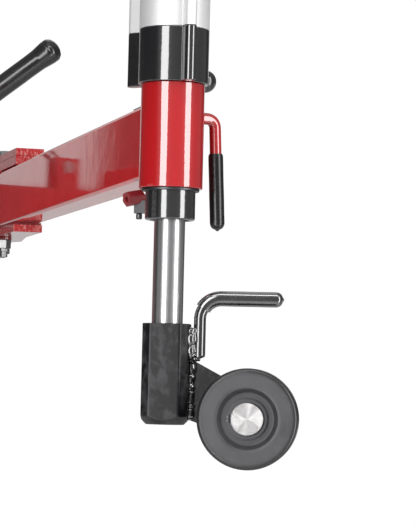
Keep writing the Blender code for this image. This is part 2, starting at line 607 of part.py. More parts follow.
def build_column(column):
    inner = BUSH_RADIUS + GAP
    edge = 0.0006
    sleeve = [(SLEEVE_RADIUS - edge, SLEEVE_TOP), (SLEEVE_RADIUS, SLEEVE_TOP - edge),
              (SLEEVE_RADIUS, SLEEVE_BOTTOM + edge), (SLEEVE_RADIUS - edge, SLEEVE_BOTTOM),
              (inner, SLEEVE_BOTTOM), (inner, SLEEVE_TOP)]
    turned("column_sleeve", sleeve, RED, column, closed=True)
    ring("retaining_ring", RING_RADIUS, inner, SLEEVE_BOTTOM - GAP - RING_HEIGHT, SLEEVE_BOTTOM - GAP,
         BLACK_OXIDE, column)
    bore = ROD_RADIUS + RUNNING
    wiper = bore + WIPER_WALL
    fillet = arc((BUSH_RADIUS - 0.002, BUSH_BOTTOM + 0.002), 0.002, 0, -90, 4)
    bush = [(BUSH_RADIUS, BUSH_TOP)] + fillet
    bush += [(wiper + GAP, BUSH_BOTTOM), (wiper + GAP, BUSH_BOTTOM + WIPER_HEIGHT + GAP),
             (bore, BUSH_BOTTOM + WIPER_HEIGHT + GAP), (bore, BUSH_TOP)]
    turned("guide_bush", bush, BLACK_GLOSS, column, closed=True)
    ring("rod_wiper", wiper, bore, BUSH_BOTTOM, BUSH_BOTTOM + WIPER_HEIGHT, RUBBER, column)

    cap_top = CAP_BOTTOM + CAP_HEIGHT
    lower = prism("lower_cap", [barrel_outline()], CAP_BOTTOM, cap_top, BLACK_GLOSS, column)
    spigot = cylinder("lower_cap_spigot", BARREL_BORE - GAP, cap_top - 0.004, cap_top + SPIGOT_HEIGHT,
                      None, column, sides=ROUND, collection=cutters)
    combine(lower, spigot, "UNION")
    way = cylinder("lower_cap_bore", ROD_RADIUS + 0.0012, CAP_BOTTOM - 0.01, cap_top + 0.02, None, column,
                   sides=ROUND, collection=cutters)
    combine(lower, way)

    bore_circle = circle((0, 0), BARREL_BORE, ROUND)
    screw_holes = [circle(at, RIB_HOLE_RADIUS, 12) for at in rib_places()]
    prism("barrel", [barrel_outline(), bore_circle] + screw_holes,
          BARREL_BOTTOM, BARREL_TOP, ALUMINIUM, column)

    upper = prism("upper_cap", [barrel_outline()] + screw_holes,
                  TOP_CAP_BOTTOM, TOP_CAP_TOP, BLACK_GLOSS, column)
    spigot = cylinder("upper_cap_spigot", BARREL_BORE - GAP,
                      TOP_CAP_BOTTOM - SPIGOT_HEIGHT, TOP_CAP_BOTTOM + 0.004,
                      None, column, sides=ROUND, collection=cutters)
    combine(upper, spigot, "UNION")
    way = turned("upper_cap_port", [(0, TOP_CAP_TOP + 0.01), (PORT_RADIUS, TOP_CAP_TOP + 0.01),
                                    (PORT_RADIUS, TOP_CAP_TOP - PORT_DEPTH), (0.004, TOP_CAP_TOP - PORT_DEPTH),
                                    (0.004, TOP_CAP_BOTTOM - 0.03), (0, TOP_CAP_BOTTOM - 0.03)],
                 None, column, steps=SMALL, collection=cutters)
    combine(upper, way)
    for index, at in enumerate(rib_places()):
        head = TOP_CAP_TOP + GAP
        deep = TOP_CAP_BOTTOM - 0.018
        profile = [(0, head + CAP_SCREW_HEAD), (CAP_SCREW_HEAD_RADIUS, head + CAP_SCREW_HEAD),
                   (CAP_SCREW_HEAD_RADIUS, head), (CAP_SCREW_RADIUS, head),
                   (CAP_SCREW_RADIUS, deep), (0, deep)]
        turned("cap_screw_%d" % (index + 1), profile, ZINC, column, location=(*at, 0), steps=12)
    thread = PORT_RADIUS - GAP
    top = TOP_CAP_TOP + GAP
    foot = top - PORT_DEPTH + 0.003
    fitting = [(0.0052, top + 0.026), (0.0072, top + 0.025), (0.0072, top + 0.010),
               (0.0090, top + 0.009), (0.0090, top), (thread, top), (thread, foot), (0.0028, foot),
               (0.0028, top + 0.014), (0.0041, top + 0.014), (0.0041, top + 0.026)]
    turned("air_fitting_upper", fitting, BRASS, column, closed=True, steps=SMALL)


def build_pull_handle(column):
    """Bar that leaves the sleeve level, turns down, and carries a vinyl grip."""
    out = Vector((math.cos(PULL_DIRECTION), math.sin(PULL_DIRECTION), 0.0))
    centre = PULL_REACH - PULL_BEND
    level = Vector((0, 0, PULL_HEIGHT - PULL_BEND))
    bend = arc((centre, 0.0), PULL_BEND, 90, math.degrees(PULL_LEAN), 9)
    path = [tuple(out * (SLEEVE_RADIUS + GAP) + Vector((0, 0, PULL_HEIGHT)))]
    path += [tuple(out * r + level + Vector((0, 0, h))) for r, h in bend]
    down = out * math.sin(PULL_LEAN) - Vector((0, 0, math.cos(PULL_LEAN)))
    last = Vector(path[-1])
    to_grip = (last.z - PULL_GRIP_TOP) / math.cos(PULL_LEAN)
    start = last + down * to_grip
    end = start + down * PULL_GRIP_LENGTH
    stops = (0.0, 0.5, 0.80, 0.90, 0.955, 0.985, 1.0)
    points = [tuple(start + (end - start) * t) for t in stops]
    factors = (1.0, 1.0, 1.0, 1.0, 0.95, 0.72, 0.35)
    path.append(tuple(start + (end - start) * 0.785))
    tube("pull_handle", path, PULL_BAR_RADIUS, RED, column)
    grip("pull_grip", points, PULL_BAR_RADIUS + GRIP_WALL, PULL_BAR_RADIUS, factors, VINYL, column)


def build_valve(arm):
    """Hand valve on the arm behind the cylinder, with the pivot frame of its lever."""
    x, y = VALVE_PLACE
    base = ARM_HEIGHT / 2 + GAP
    top = base + VALVE_PLATE
    left = -ARM_WIDTH / 2 + VALVE_PLATE_INSET
    middle = x - VALVE_PLATE_BACK
    box("valve_bracket", (middle - VALVE_PLATE_SIZE[0] / 2, left, base),
        (middle + VALVE_PLATE_SIZE[0] / 2, left + VALVE_PLATE_SIZE[1], top), BLACK_OXIDE, arm)
    low = (x - VALVE_SIZE[0] / 2, y - VALVE_SIZE[1] / 2, top + GAP)
    high = (x + VALVE_SIZE[0] / 2, y + VALVE_SIZE[1] / 2, top + GAP + VALVE_SIZE[2])
    box("valve_body", low, high, ALUMINIUM, arm, bevel=0.001)
    radius = VALVE_SCREW_RADIUS
    screw = [(0, top + VALVE_SCREW_HEAD), (radius * 0.8, top + VALVE_SCREW_HEAD),
             (radius, top + VALVE_SCREW_HEAD - radius * 0.3), (radius, top + GAP), (0, top + GAP)]
    for name, (along_x, across) in zip(("bracket_screw_front", "bracket_screw_rear"), VALVE_SCREWS):
        turned(name, screw, BLACK_OXIDE, arm, location=(x + along_x, left + across, 0), steps=TINY)
    length = VALVE_FITTING_LENGTH
    fitting = [(0.0060, length), (0.0060, 0.0062), (0.0075, 0.0058), (0.0075, GAP),
               (0.0028, GAP), (0.0028, length)]
    turned("valve_fitting", fitting, BRASS, arm, location=(low[0], y, low[2] + VALVE_SIZE[2] / 2),
           rotation=(0.0, -math.pi / 2, 0.0), closed=True, steps=TINY)

    side = high[1] + GAP + VALVE_LEVER_HUB
    lever_frame = frame("valve_lever_axis", (VALVE_LEVER_X, side, BALL_HEIGHT), 0.0, arm)
    stem = BALL_REACH - side - BALL_RADIUS * 0.86
    ball_end = arc((0.0, 0.0), VALVE_LEVER_HUB, 35, -90, 8)
    # the profile's height runs along the lever, from the ball knob down to the hub
    profile = [(0.0, stem), (VALVE_LEVER_RADIUS, stem)]
    profile += [(r, h) for r, h in ball_end if r > 0.0001] + [(0.0, -VALVE_LEVER_HUB)]
    turned("valve_lever", profile, ZINC, lever_frame, rotation=(-math.pi / 2, 0.0, 0.0), steps=TINY)
    knob_centre = BALL_REACH - side
    flat = -math.degrees(math.acos((stem + GAP - knob_centre) / BALL_RADIUS)) + 90.0
    knob = [(0.0, knob_centre + BALL_RADIUS)]
    knob += arc((0.0, knob_centre), BALL_RADIUS, 80, flat, 14) + [(0.0, stem + GAP)]
    turned("ball_knob", knob, PHENOLIC, lever_frame, rotation=(-math.pi / 2, 0.0, 0.0), steps=SMALL)


def build_flow_control(column):
    """Block under the arm behind the guide bush, with a hexagonal fitting, its body and its screw."""
    x, y = PORT_BLOCK_PLACE
    top = -ARM_HEIGHT / 2 - GAP
    half_x, half_y = PORT_BLOCK_SIZE[0] / 2, PORT_BLOCK_SIZE[1] / 2
    box("port_block", (x - half_x, y - half_y, top - PORT_BLOCK_SIZE[2]), (x + half_x, y + half_y, top),
        RED, column, bevel=0.0008)
    across = (x - half_x - 0.0012 - HEX_END[0]) - HEX_FLATS / 2 * math.sin(HEX_YAW)
    length = across / math.cos(HEX_RISE) / math.cos(HEX_YAW)
    turn = (0.0, math.pi / 2 - HEX_RISE, HEX_YAW)
    hexed = prism("flow_hex", [hexagon(HEX_FLATS, 18)], 0.0, length, DARK_RED, column, HEX_END, turn)
    radius, deep = HEX_SOCKET
    socket = cylinder("flow_hex_socket", radius, -0.002, deep, None, column, HEX_END, turn, TINY, cutters)
    combine(hexed, socket)
    wide, thick = FLOW_BODY
    body_x = HEX_END[0] + FLOW_BODY_X
    hex_axis = HEX_END[2] + FLOW_BODY_X / math.cos(HEX_YAW) * math.tan(HEX_RISE)
    middle = HEX_END[1] + FLOW_BODY_X * math.tan(HEX_YAW)
    bottom = FLOW_BODY_BOTTOM
    body = box("flow_body", (body_x - wide / 2, middle - thick / 2, bottom),
               (body_x + wide / 2, middle + thick / 2, hex_axis - FLOW_BODY_SADDLE), GREY_PLASTIC, column)
    seat = prism("flow_body_seat", [hexagon(HEX_FLATS + 2 * GAP, 18)], -0.01, length, None, column,
                 HEX_END, turn, cutters)
    combine(body, seat)
    radius = FLOW_SCREW_RADIUS
    low = bottom - GAP - FLOW_SCREW_LENGTH
    screw = [(0.0, bottom - GAP), (radius * 0.8, bottom - GAP), (radius, bottom - GAP - radius * 0.3),
             (radius, low + radius * 0.3), (radius * 0.8, low), (0.0, low)]
    turned("flow_screw", screw, BLACK_OXIDE, column, location=(body_x - 0.0006, middle, 0), steps=TINY)


# ---------------------------------------------------------------- rod, block, roller and crank
def build_piston(column):
    bottom = PISTON_REST
    top = bottom + PISTON_HEIGHT
    outer = BARREL_BORE - RUNNING
    root = outer - PISTON_SEAL_DEPTH
    bore = ROD_SPIGOT_RADIUS + RUNNING
    heights = (("piston_seal_upper", top - 0.005), ("piston_seal_lower", bottom + 0.005 + PISTON_SEAL_HEIGHT))
    profile = [(outer, top)]
    for _, high in heights:
        low = high - PISTON_SEAL_HEIGHT
        profile += [(outer, high), (root, high), (root, low), (outer, low)]
    profile += [(outer, bottom), (bore, bottom), (bore, top)]
    turned("piston", profile, ALUMINIUM, column, closed=True)
    for name, high in heights:
        ring(name, outer, root + GAP, high - PISTON_SEAL_HEIGHT + GAP, high - GAP, RUBBER, column)


def build_rod(rod):
    piston_top = PISTON_REST + PISTON_HEIGHT
    shoulder = PISTON_REST - GAP
    foot = ROD_TO_BLOCK - BLOCK_BORE_DEPTH + GAP
    end = piston_top + ROD_NUT_HEIGHT + 0.004
    profile = [(0, end), (ROD_SPIGOT_RADIUS - 0.001, end), (ROD_SPIGOT_RADIUS, end - 0.001),
               (ROD_SPIGOT_RADIUS, shoulder), (ROD_RADIUS, shoulder), (ROD_RADIUS, foot), (0, foot)]
    turned("rod", profile, CHROME, rod)
    hole = circle((0, 0), ROD_SPIGOT_RADIUS + GAP, SMALL)
    prism("piston_nut", [hexagon(ROD_NUT_FLATS), hole],
          piston_top + GAP, piston_top + ROD_NUT_HEIGHT, ZINC, rod)

    half = BLOCK_SIZE / 2
    inset = half - BLOCK_CHAMFER
    outline = [(half, -inset), (half, inset), (inset, half), (-inset, half),
               (-half, inset), (-half, -inset), (-inset, -half), (inset, -half)]
    block = prism("rod_block", [outline], BLOCK_BOTTOM, ROD_TO_BLOCK, BLACK_SATIN, rod)
    wide = BLOCK_SIZE
    cone = turned("rod_block_cone", [(0, ROD_TO_BLOCK + 0.01), (wide, ROD_TO_BLOCK + 0.01),
                                     (wide, BLOCK_BOTTOM + wide - BLOCK_CONE_RADIUS),
                                     (BLOCK_CONE_RADIUS, BLOCK_BOTTOM), (0, BLOCK_BOTTOM)],
                  None, rod, collection=cutters)
    combine(block, cone, "INTERSECT")
    bore = cylinder("rod_block_bore", ROD_RADIUS + GAP, ROD_TO_BLOCK - BLOCK_BORE_DEPTH, ROD_TO_BLOCK + 0.02,
                    None, rod, sides=ROUND, collection=cutters)
    combine(block, bore)


def build_roller_mount(rod):
    """Plate welded to the block's side, with the eye that the axle's spigot goes through."""
    eye = (ROLLER_REACH, ROLLER_HEIGHT)
    side = BLOCK_SIZE / 2 + GAP
    outline = [(side, PLATE_BOTTOM)]
    outline += arc(eye, PLATE_EYE_RADIUS, -98, 62, 18)
    outline += [(side, PLATE_TOP)]
    hole = circle(eye, AXLE_SPIGOT_RADIUS + GAP, SMALL)
    # a prism turned across Y runs from its low face at +Y to its high face at -Y
    prism("roller_plate", [outline, hole], -PLATE_THICKNESS, 0.0, BLACK_SATIN, rod, rotation=ACROSS_Y)

    at = dict(location=(ROLLER_REACH, 0, ROLLER_HEIGHT), rotation=ACROSS_Y)
    end = ROLLER_FLOOR + AXLE_END_PROUD
    axle = [(0, end), (AXLE_RADIUS - 0.0008, end), (AXLE_RADIUS, end - 0.0008), (AXLE_RADIUS, GAP),
            (AXLE_SPIGOT_RADIUS, GAP), (AXLE_SPIGOT_RADIUS, -PLATE_THICKNESS - 0.002),
            (0, -PLATE_THICKNESS - 0.002)]
    turned("roller_axle", axle, STEEL, rod, **at)
    inner = AXLE_RADIUS + GAP
    ring("axle_spacer", inner + 0.005, inner, GAP, GAP + SPACER_THICKNESS, ZINC, rod, **at)
    seat = ROLLER_FLOOR + GAP + ROLLER_BUSH_FLANGE + GAP
    outer = inner + CIRCLIP_WALL
    opening = 12.0
    outline = arc((0, 0), outer, 180 + opening, 540 - opening, 40)
    outline += arc((0, 0), inner, 540 - opening, 180 + opening, 40)
    prism("axle_circlip", [outline], seat, seat + CIRCLIP_THICKNESS, BLACK_OXIDE, rod, **at)


def build_roller(rod):
    wheel = frame("roller_axis", (ROLLER_REACH, 0, ROLLER_HEIGHT), 0.0, rod)
    inner = ROLLER_BUSH_RADIUS + GAP
    fillet = ROLLER_FILLET
    front = arc((ROLLER_RADIUS - fillet, ROLLER_FRONT - fillet), fillet, 90, 0, 4)
    back = arc((ROLLER_RADIUS - fillet, ROLLER_BACK + fillet), fillet, 0, -90, 4)
    profile = [(inner, ROLLER_FLOOR), (ROLLER_FLOOR_RADIUS, ROLLER_FLOOR),
               (ROLLER_RECESS_RADIUS - 0.0015, ROLLER_FRONT - 0.0006), (ROLLER_RECESS_RADIUS, ROLLER_FRONT)]
    profile += front + back
    profile += [(inner, ROLLER_BACK)]
    turned("roller", profile, NYLON, wheel, rotation=ACROSS_Y, closed=True)
    bore = AXLE_RADIUS + RUNNING
    flange = ROLLER_BUSH_FLANGE_RADIUS
    high = ROLLER_FLOOR + GAP
    fore = [(flange, high + ROLLER_BUSH_FLANGE), (flange, high), (ROLLER_BUSH_RADIUS, high),
            (ROLLER_BUSH_RADIUS, high - ROLLER_BUSH_LENGTH), (bore, high - ROLLER_BUSH_LENGTH),
            (bore, high + ROLLER_BUSH_FLANGE)]
    turned("roller_bush_front", fore, BLACK_OXIDE, wheel, rotation=ACROSS_Y, closed=True)
    low = ROLLER_BACK - GAP
    aft = [(ROLLER_BUSH_RADIUS, low + ROLLER_BUSH_LENGTH), (ROLLER_BUSH_RADIUS, low), (flange, low),
           (flange, low - ROLLER_BUSH_FLANGE), (bore, low - ROLLER_BUSH_FLANGE),
           (bore, low + ROLLER_BUSH_LENGTH)]
    turned("roller_bush_rear", aft, BLACK_OXIDE, wheel, rotation=ACROSS_Y, closed=True)


def build_crank(rod):
    """Bar welded to the block's side, bent level over the roller, with a vinyl grip from the bend on."""
    y = CRANK_SIDE
    bend = arc((CRANK_REACH + CRANK_BEND, CRANK_GRIP_HEIGHT - CRANK_BEND), CRANK_BEND, 180, 90, 12)
    bent = [(x, y, z) for x, z in bend]
    level = [(x, y, CRANK_GRIP_HEIGHT) for x in (CRANK_REACH + CRANK_BEND + 0.02, CRANK_TIP - 0.012)]
    tube("crank_bar", [(CRANK_REACH, y, CRANK_FOOT)] + bent + level, CRANK_BAR_RADIUS, BLACK_GLOSS, rod)
    tips = ((0.010, 1.0), (0.0042, 0.95), (0.0014, 0.70), (0.0, 0.35))
    points = bent[7:] + [(CRANK_REACH + CRANK_BEND + 0.02, y, CRANK_GRIP_HEIGHT)]
    points += [(CRANK_TIP - back, y, CRANK_GRIP_HEIGHT) for back, _ in tips]
    factors = [1.0] * (len(points) - len(tips)) + [factor for _, factor in tips]
    grip("crank_grip", points, CRANK_BAR_RADIUS + GRIP_WALL + 0.0002, CRANK_BAR_RADIUS, factors, VINYL, rod)
    side = BLOCK_SIZE / 2 + GAP
    box("crank_weld", (side, y - 0.005, CRANK_FOOT + 0.001),
        (CRANK_REACH - CRANK_BAR_RADIUS - GAP, y + 0.005, ROD_TO_BLOCK - 0.004), BLACK_GLOSS, rod, bevel=0.001)


def build_lock_lever():
    """Locking lever on the bracket: a boss on the pin, a bar, and a flared vinyl grip."""
    axis = frame("lock_lever_axis", (LEVER_PIN_X, 0, LEVER_PIN_Z))
    way = Vector((math.cos(LEVER_ANGLE), 0, math.sin(LEVER_ANGLE)))
    boss = cylinder("lock_lever", LEVER_BOSS_RADIUS, -LEVER_BOSS_WIDTH / 2, LEVER_BOSS_WIDTH / 2,
                    BLACK_GLOSS, axis, rotation=ACROSS_Y, sides=SMALL)
    first = LEVER_LENGTH - LEVER_GRIP_LENGTH
    bar = cylinder("lock_lever_bar", LEVER_BAR_RADIUS, LEVER_BOSS_RADIUS * 0.7, LEVER_LENGTH - 0.022,
                   None, axis, rotation=(0.0, math.pi / 2 - LEVER_ANGLE, 0.0), sides=SMALL,
                   collection=cutters)
    combine(boss, bar, "UNION")
    hole = cylinder("lock_lever_hole", LEVER_PIN_RADIUS + RUNNING, -0.05, 0.05,
                    None, axis, rotation=ACROSS_Y, sides=SMALL, collection=cutters)
    combine(boss, hole)
    flare = LEVER_GRIP_FLARE / LEVER_GRIP_RADIUS
    # distance back from the tip, and the radius there as a share of the grip's
    tip = ((0.060, 1.0), (0.036, 1.02), (0.026, 1.10), (0.018, flare), (0.010, flare * 0.96),
           (0.004, flare * 0.72), (0.001, flare * 0.40), (0.0, flare * 0.2))
    stations = [(first, 1.0)] + [(LEVER_LENGTH - back, factor) for back, factor in tip]
    points = [tuple(way * distance) for distance, _ in stations]
    factors = [factor for _, factor in stations]
    inside = [tuple(way * (first - 0.002)), tuple(way * (LEVER_LENGTH - 0.0215))]
    drawn = tube("lock_grip_outer", points, LEVER_GRIP_RADIUS, None, axis, factors, 6)
    outer = as_mesh(drawn, "lock_grip", VINYL)
    bore = tube("lock_grip_hole", inside, LEVER_BAR_RADIUS + GAP, None, axis, None, 8)
    combine(outer, as_mesh(bore, "lock_grip_bore", None))
    shade(outer)


def main():
    build_bracket()
    build_lever_bracket()
    build_lock_lever()
    arm = frame("arm_axis", (PIVOT_X, 0, 0), ARM_ANGLE)
    column = frame("column_axis", (ARM_LENGTH, 0, 0), -ARM_ANGLE, arm)
    rod = frame("rod_axis", (0, 0, 0), ROD_TURN, column)
    build_arm(arm)
    build_valve(arm)
    build_column(column)
    build_pull_handle(column)
    build_flow_control(column)
    build_piston(column)
    build_rod(rod)
    build_roller_mount(rod)
    build_roller(rod)
    build_crank(rod)


main()
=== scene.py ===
import math

import bpy
import numpy as np
from mathutils import Matrix, Vector


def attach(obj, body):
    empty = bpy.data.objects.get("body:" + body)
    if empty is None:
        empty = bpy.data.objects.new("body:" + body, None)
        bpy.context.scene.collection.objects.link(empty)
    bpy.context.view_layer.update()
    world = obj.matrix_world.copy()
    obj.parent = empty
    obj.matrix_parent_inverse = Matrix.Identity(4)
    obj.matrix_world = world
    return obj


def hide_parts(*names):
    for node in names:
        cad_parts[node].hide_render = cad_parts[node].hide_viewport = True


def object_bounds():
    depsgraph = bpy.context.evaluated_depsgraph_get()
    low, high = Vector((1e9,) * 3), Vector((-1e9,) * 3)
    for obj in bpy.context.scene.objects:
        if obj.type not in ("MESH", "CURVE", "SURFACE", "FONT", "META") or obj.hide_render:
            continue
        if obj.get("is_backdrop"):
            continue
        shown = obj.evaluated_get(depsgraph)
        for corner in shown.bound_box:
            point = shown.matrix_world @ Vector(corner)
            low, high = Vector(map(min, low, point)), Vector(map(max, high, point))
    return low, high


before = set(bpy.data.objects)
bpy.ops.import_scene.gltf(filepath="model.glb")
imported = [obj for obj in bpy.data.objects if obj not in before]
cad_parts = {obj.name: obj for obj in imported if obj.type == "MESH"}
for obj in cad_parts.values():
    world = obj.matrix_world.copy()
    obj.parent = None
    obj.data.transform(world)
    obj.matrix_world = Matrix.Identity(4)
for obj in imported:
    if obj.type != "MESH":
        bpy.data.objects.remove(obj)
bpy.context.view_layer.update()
scene = bpy.context.scene
print("press arm: frame loaded,", len(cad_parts), "nodes")

gap = 0.0003


def matrixOf(move=(0, 0, 0), turnZ=0.0, turnX=0.0, turnY=0.0, after=None):
    # a piece's own frame in the row frame: turned about X, Y, then Z, then moved, then taken by another frame
    made = Matrix.Translation(move) @ Matrix.Rotation(turnZ, 4, "Z")
    made = made @ Matrix.Rotation(turnY, 4, "Y") @ Matrix.Rotation(turnX, 4, "X")
    made = np.array(made)
    return made if after is None else after @ made


def placed(points, matrix):
    return points @ matrix[:3, :3].T + matrix[:3, 3]


def unit(vectors):
    return vectors / np.maximum(np.linalg.norm(vectors, axis=-1, keepdims=True), 1e-12)


def gridSurface(points, closeRows=False):
    # points is rows x around x 3; every row is a closed loop. Rows join up in quads; each open end gets a fan
    rows, around = points.shape[:2]
    index = np.arange(rows * around).reshape(rows, around)
    upper = index if closeRows else index[:-1]
    lower = np.roll(index, -1, 0) if closeRows else index[1:]
    quads = np.stack([upper, np.roll(upper, -1, 1), np.roll(lower, -1, 1), lower], -1).reshape(-1, 4)
    vertices = [points.reshape(-1, 3)]
    fans = []
    total = rows * around
    if not closeRows:
        for row, flip in ((0, True), (rows - 1, False)):
            loop = index[row]
            following = np.roll(loop, -1)
            middle = np.full(around, total)
            fan = (following, loop, middle) if flip else (loop, following, middle)
            fans.append(np.stack(fan, -1))
            vertices.append(points[row].mean(0, keepdims=True))
            total += 1
    vertices = np.concatenate(vertices)
    triangles = np.concatenate(fans) if fans else np.zeros((0, 3), int)
    halves = np.concatenate([quads[:, [0, 1, 2]], quads[:, [0, 2, 3]], triangles])
    a, b, c = (vertices[halves[:, i]] for i in range(3))
    if np.einsum("ij,ij->i", a, np.cross(b, c)).sum() < 0:   # volume below nought: the faces point inwards
        quads = quads[:, ::-1]
        triangles = triangles[:, ::-1]
    return vertices, quads, triangles


def roundedPath(corners, radius, steps=5, closed=False):
    # every corner of a polyline becomes a circular arc that meets both its sides
    corners = np.asarray(corners, float)
    count = len(corners)
    radii = np.broadcast_to(radius, count)
    path = []
    for i, corner in enumerate(corners):
        if not closed and i in (0, count - 1) or radii[i] <= 0:
            path.append(corner[None])
            continue
        back = corners[i - 1] - corner
        onward = corners[(i + 1) % count] - corner
        lengthBack, lengthOnward = np.linalg.norm(back), np.linalg.norm(onward)
        back, onward = back / lengthBack, onward / lengthOnward
        half = math.acos(max(-1.0, min(1.0, float(back @ onward)))) / 2
        if half > math.radians(89):
            path.append(corner[None])
            continue
        reach = min(radii[i] / math.tan(half), 0.48 * min(lengthBack, lengthOnward))
        bisector = unit((back + onward)[None])[0]
        centre = corner + bisector * reach / math.cos(half)
        start = corner + back * reach - centre
        end = corner + onward * reach - centre
        sweep = math.pi - 2 * half
        t = np.linspace(0, 1, steps + 1)[:, None]
        path.append(centre + (start * np.sin((1 - t) * sweep) + end * np.sin(t * sweep)) / math.sin(sweep))
    return np.concatenate(path)


def turnedSurface(profile, matrix, segments=96, closed=False, wobble=None):
    # (radius, height) points turned about Z: x = r cos a, y = r sin a, z = h; a closed profile is a ring
    profile = np.asarray(profile, float)
    angle = np.linspace(0, 2 * np.pi, segments, endpoint=False)
    radius = profile[:, 0][:, None] * np.ones(segments)
    height = profile[:, 1][:, None] * np.ones(segments)
    if wobble is not None:
        radius = radius + wobble(angle[None, :], height)
    points = np.stack([radius * np.cos(angle), radius * np.sin(angle), height], -1)
    return gridSurface(placed(points, matrix), closeRows=closed)


def drawnSurface(outline, low, high, matrix, edge, steps):
    # a flat outline given thickness; the rows near each end are drawn in along the outline's normals on a
    # quarter circle, which rounds the edge
    outline = np.asarray(outline, float)
    following = np.roll(outline, -1, 0)
    side = unit(following - np.roll(outline, 1, 0))
    area = (outline[:, 0] * following[:, 1] - following[:, 0] * outline[:, 1]).sum()
    outward = np.stack([side[:, 1], -side[:, 0]], -1) * (1 if area > 0 else -1)
    turn = np.linspace(0, np.pi / 2, steps + 1)
    stations = [(low, edge)] + [(low + edge * (1 - math.cos(t)), edge * (1 - math.sin(t))) for t in turn]
    stations += [(low + 2.2 * edge, 0.0), (high - 2.2 * edge, 0.0)]
    stations += [(high - edge * (1 - math.cos(t)), edge * (1 - math.sin(t))) for t in turn[::-1]]
    stations += [(high, edge)]
    rows = [np.column_stack([outline - outward * inset, np.full(len(outline), z)]) for z, inset in stations]
    return gridSurface(placed(np.stack(rows), matrix))


def postSurface(planes, profile, matrix, segments, soft):
    # a many-sided post cut by a turned profile: at each angle the radius is the soft least of the sides'
    # distances over the cosine to them and the profile's radius at that height
    profile = np.asarray(profile, float)
    angle = np.linspace(0, 2 * np.pi, segments, endpoint=False)
    reach = []
    for turn, distance in planes:
        cosine = np.cos(angle - turn)
        reach.append(np.where(cosine > 0.2, distance / np.maximum(cosine, 0.2), 1.0))
    sides = np.stack(reach)
    least = sides.min(0)
    sides = least - soft * np.log(np.exp(-(sides - least) / soft).sum(0))
    turned = profile[:, 0][:, None]
    low = np.minimum(turned, sides[None])
    radius = low - soft * np.log(np.exp(-(turned - low) / soft) + np.exp(-(sides[None] - low) / soft))
    radius = np.where(turned < 0.6 * sides[None], turned, radius)
    height = profile[:, 1][:, None] * np.ones(segments)
    points = np.stack([radius * np.cos(angle), radius * np.sin(angle), height], -1)
    return gridSurface(placed(points, matrix))


def barSurface(path, radius, side, matrix=None, around=40):
    # a round section carried along a path: each ring is centre + r (cos a N + sin a B), where N is the given
    # side made square to the path, and B is square to both
    path = np.asarray(path, float)
    tangent = unit(np.gradient(path, axis=0))
    side = np.broadcast_to(np.asarray(side, float), path.shape)
    normal = unit(side - (side * tangent).sum(1, keepdims=True) * tangent)
    across = np.cross(tangent, normal)
    angle = np.linspace(0, 2 * np.pi, around, endpoint=False)
    radius = np.asarray(radius, float)
    radius = radius.reshape(len(path), -1) if radius.ndim else radius.reshape(1, 1)
    ring = radius[..., None] * (np.cos(angle)[None, :, None] * normal[:, None, :]
                                + np.sin(angle)[None, :, None] * across[:, None, :])
    points = path[:, None, :] + ring
    return gridSurface(points if matrix is None else placed(points, matrix))


def evenly(path, spacing, extra=()):
    # the same path with points a fixed step apart, and closer where extra lengths are asked for
    path = np.asarray(path, float)
    along = np.concatenate([[0], np.cumsum(np.linalg.norm(np.diff(path, axis=0), axis=1))])
    count = max(4, int(round(along[-1] / spacing)) + 1)
    stations = np.unique(np.concatenate([np.linspace(0, along[-1], count), np.asarray(extra, float)]))
    stations = stations[(stations >= 0) & (stations <= along[-1])]
    return np.stack([np.interp(stations, along, path[:, i]) for i in range(path.shape[1])], -1), stations


def towardsTip(length):
    # extra lengths that close up towards a grip's tip, as sin t does towards a quarter turn
    return length - 0.010 * (1 - np.sin(np.linspace(0, np.pi / 2, 24)))


def gripRadiusAt(distance, start, length, radius, tip, nub, wave, mouth):
    # a dipped grip's radius by distance along its bar: full, then an ellipse over the tip's length with a
    # small moulding nub; a faint ripple all along; and a mouth drawn in by a tenth on a quarter circle
    nubRadius = 0.0020
    onGrip = distance - start
    past = np.clip((distance - (length - nub - tip)) / tip, 0, 1)
    body = radius * np.sqrt(np.clip(1 - past ** 2.4, 0, 1))
    end = np.clip((length - distance) / nub, 0, 1)
    body = np.maximum(np.maximum(body, nubRadius * np.sqrt(end * (2 - end))), 0.0003)
    body = body * (1 + 0.006 * np.sin(onGrip * wave))
    edge = np.sqrt(np.clip(1 - (1 - np.clip(onGrip / mouth, 0, 1)) ** 2, 0.0, 1))
    return body * (0.90 + 0.10 * edge)


def weldSurface(path, width, side, seed, pitch=0.0028, lump=0.22):
    # a bead: a bar along the path whose radius swells at each ripple and wanders slowly, all from fixed waves
    around = 24
    path, along = evenly(path, 0.0005)
    draw = np.random.default_rng(seed)
    phase = draw.uniform(0, 2 * np.pi, 6)
    wander = sum(np.sin(along * k + p) for k, p in zip((130.0, 260.0, 410.0), phase)) / 3
    angle = np.linspace(0, 2 * np.pi, around, endpoint=False)
    ripple = np.pi * along[:, None] / pitch + 0.5 * np.cos(angle)[None] + 1.6 * wander[:, None]
    ripple = np.abs(np.sin(ripple))
    radius = width * (1 - lump / 2 + lump * ripple ** 0.6 + 0.10 * wander[:, None])
    radius = radius + width * 0.04 * np.sin(2 * angle[None] + along[:, None] * 500 + phase[3])
    ends = np.minimum(along, along[-1] - along)[:, None] / (1.2 * width)
    radius = radius * np.sqrt(np.clip(1 - (1 - np.clip(ends, 0, 1)) ** 2, 0.02, 1))
    return barSurface(path, radius, side, around=around)


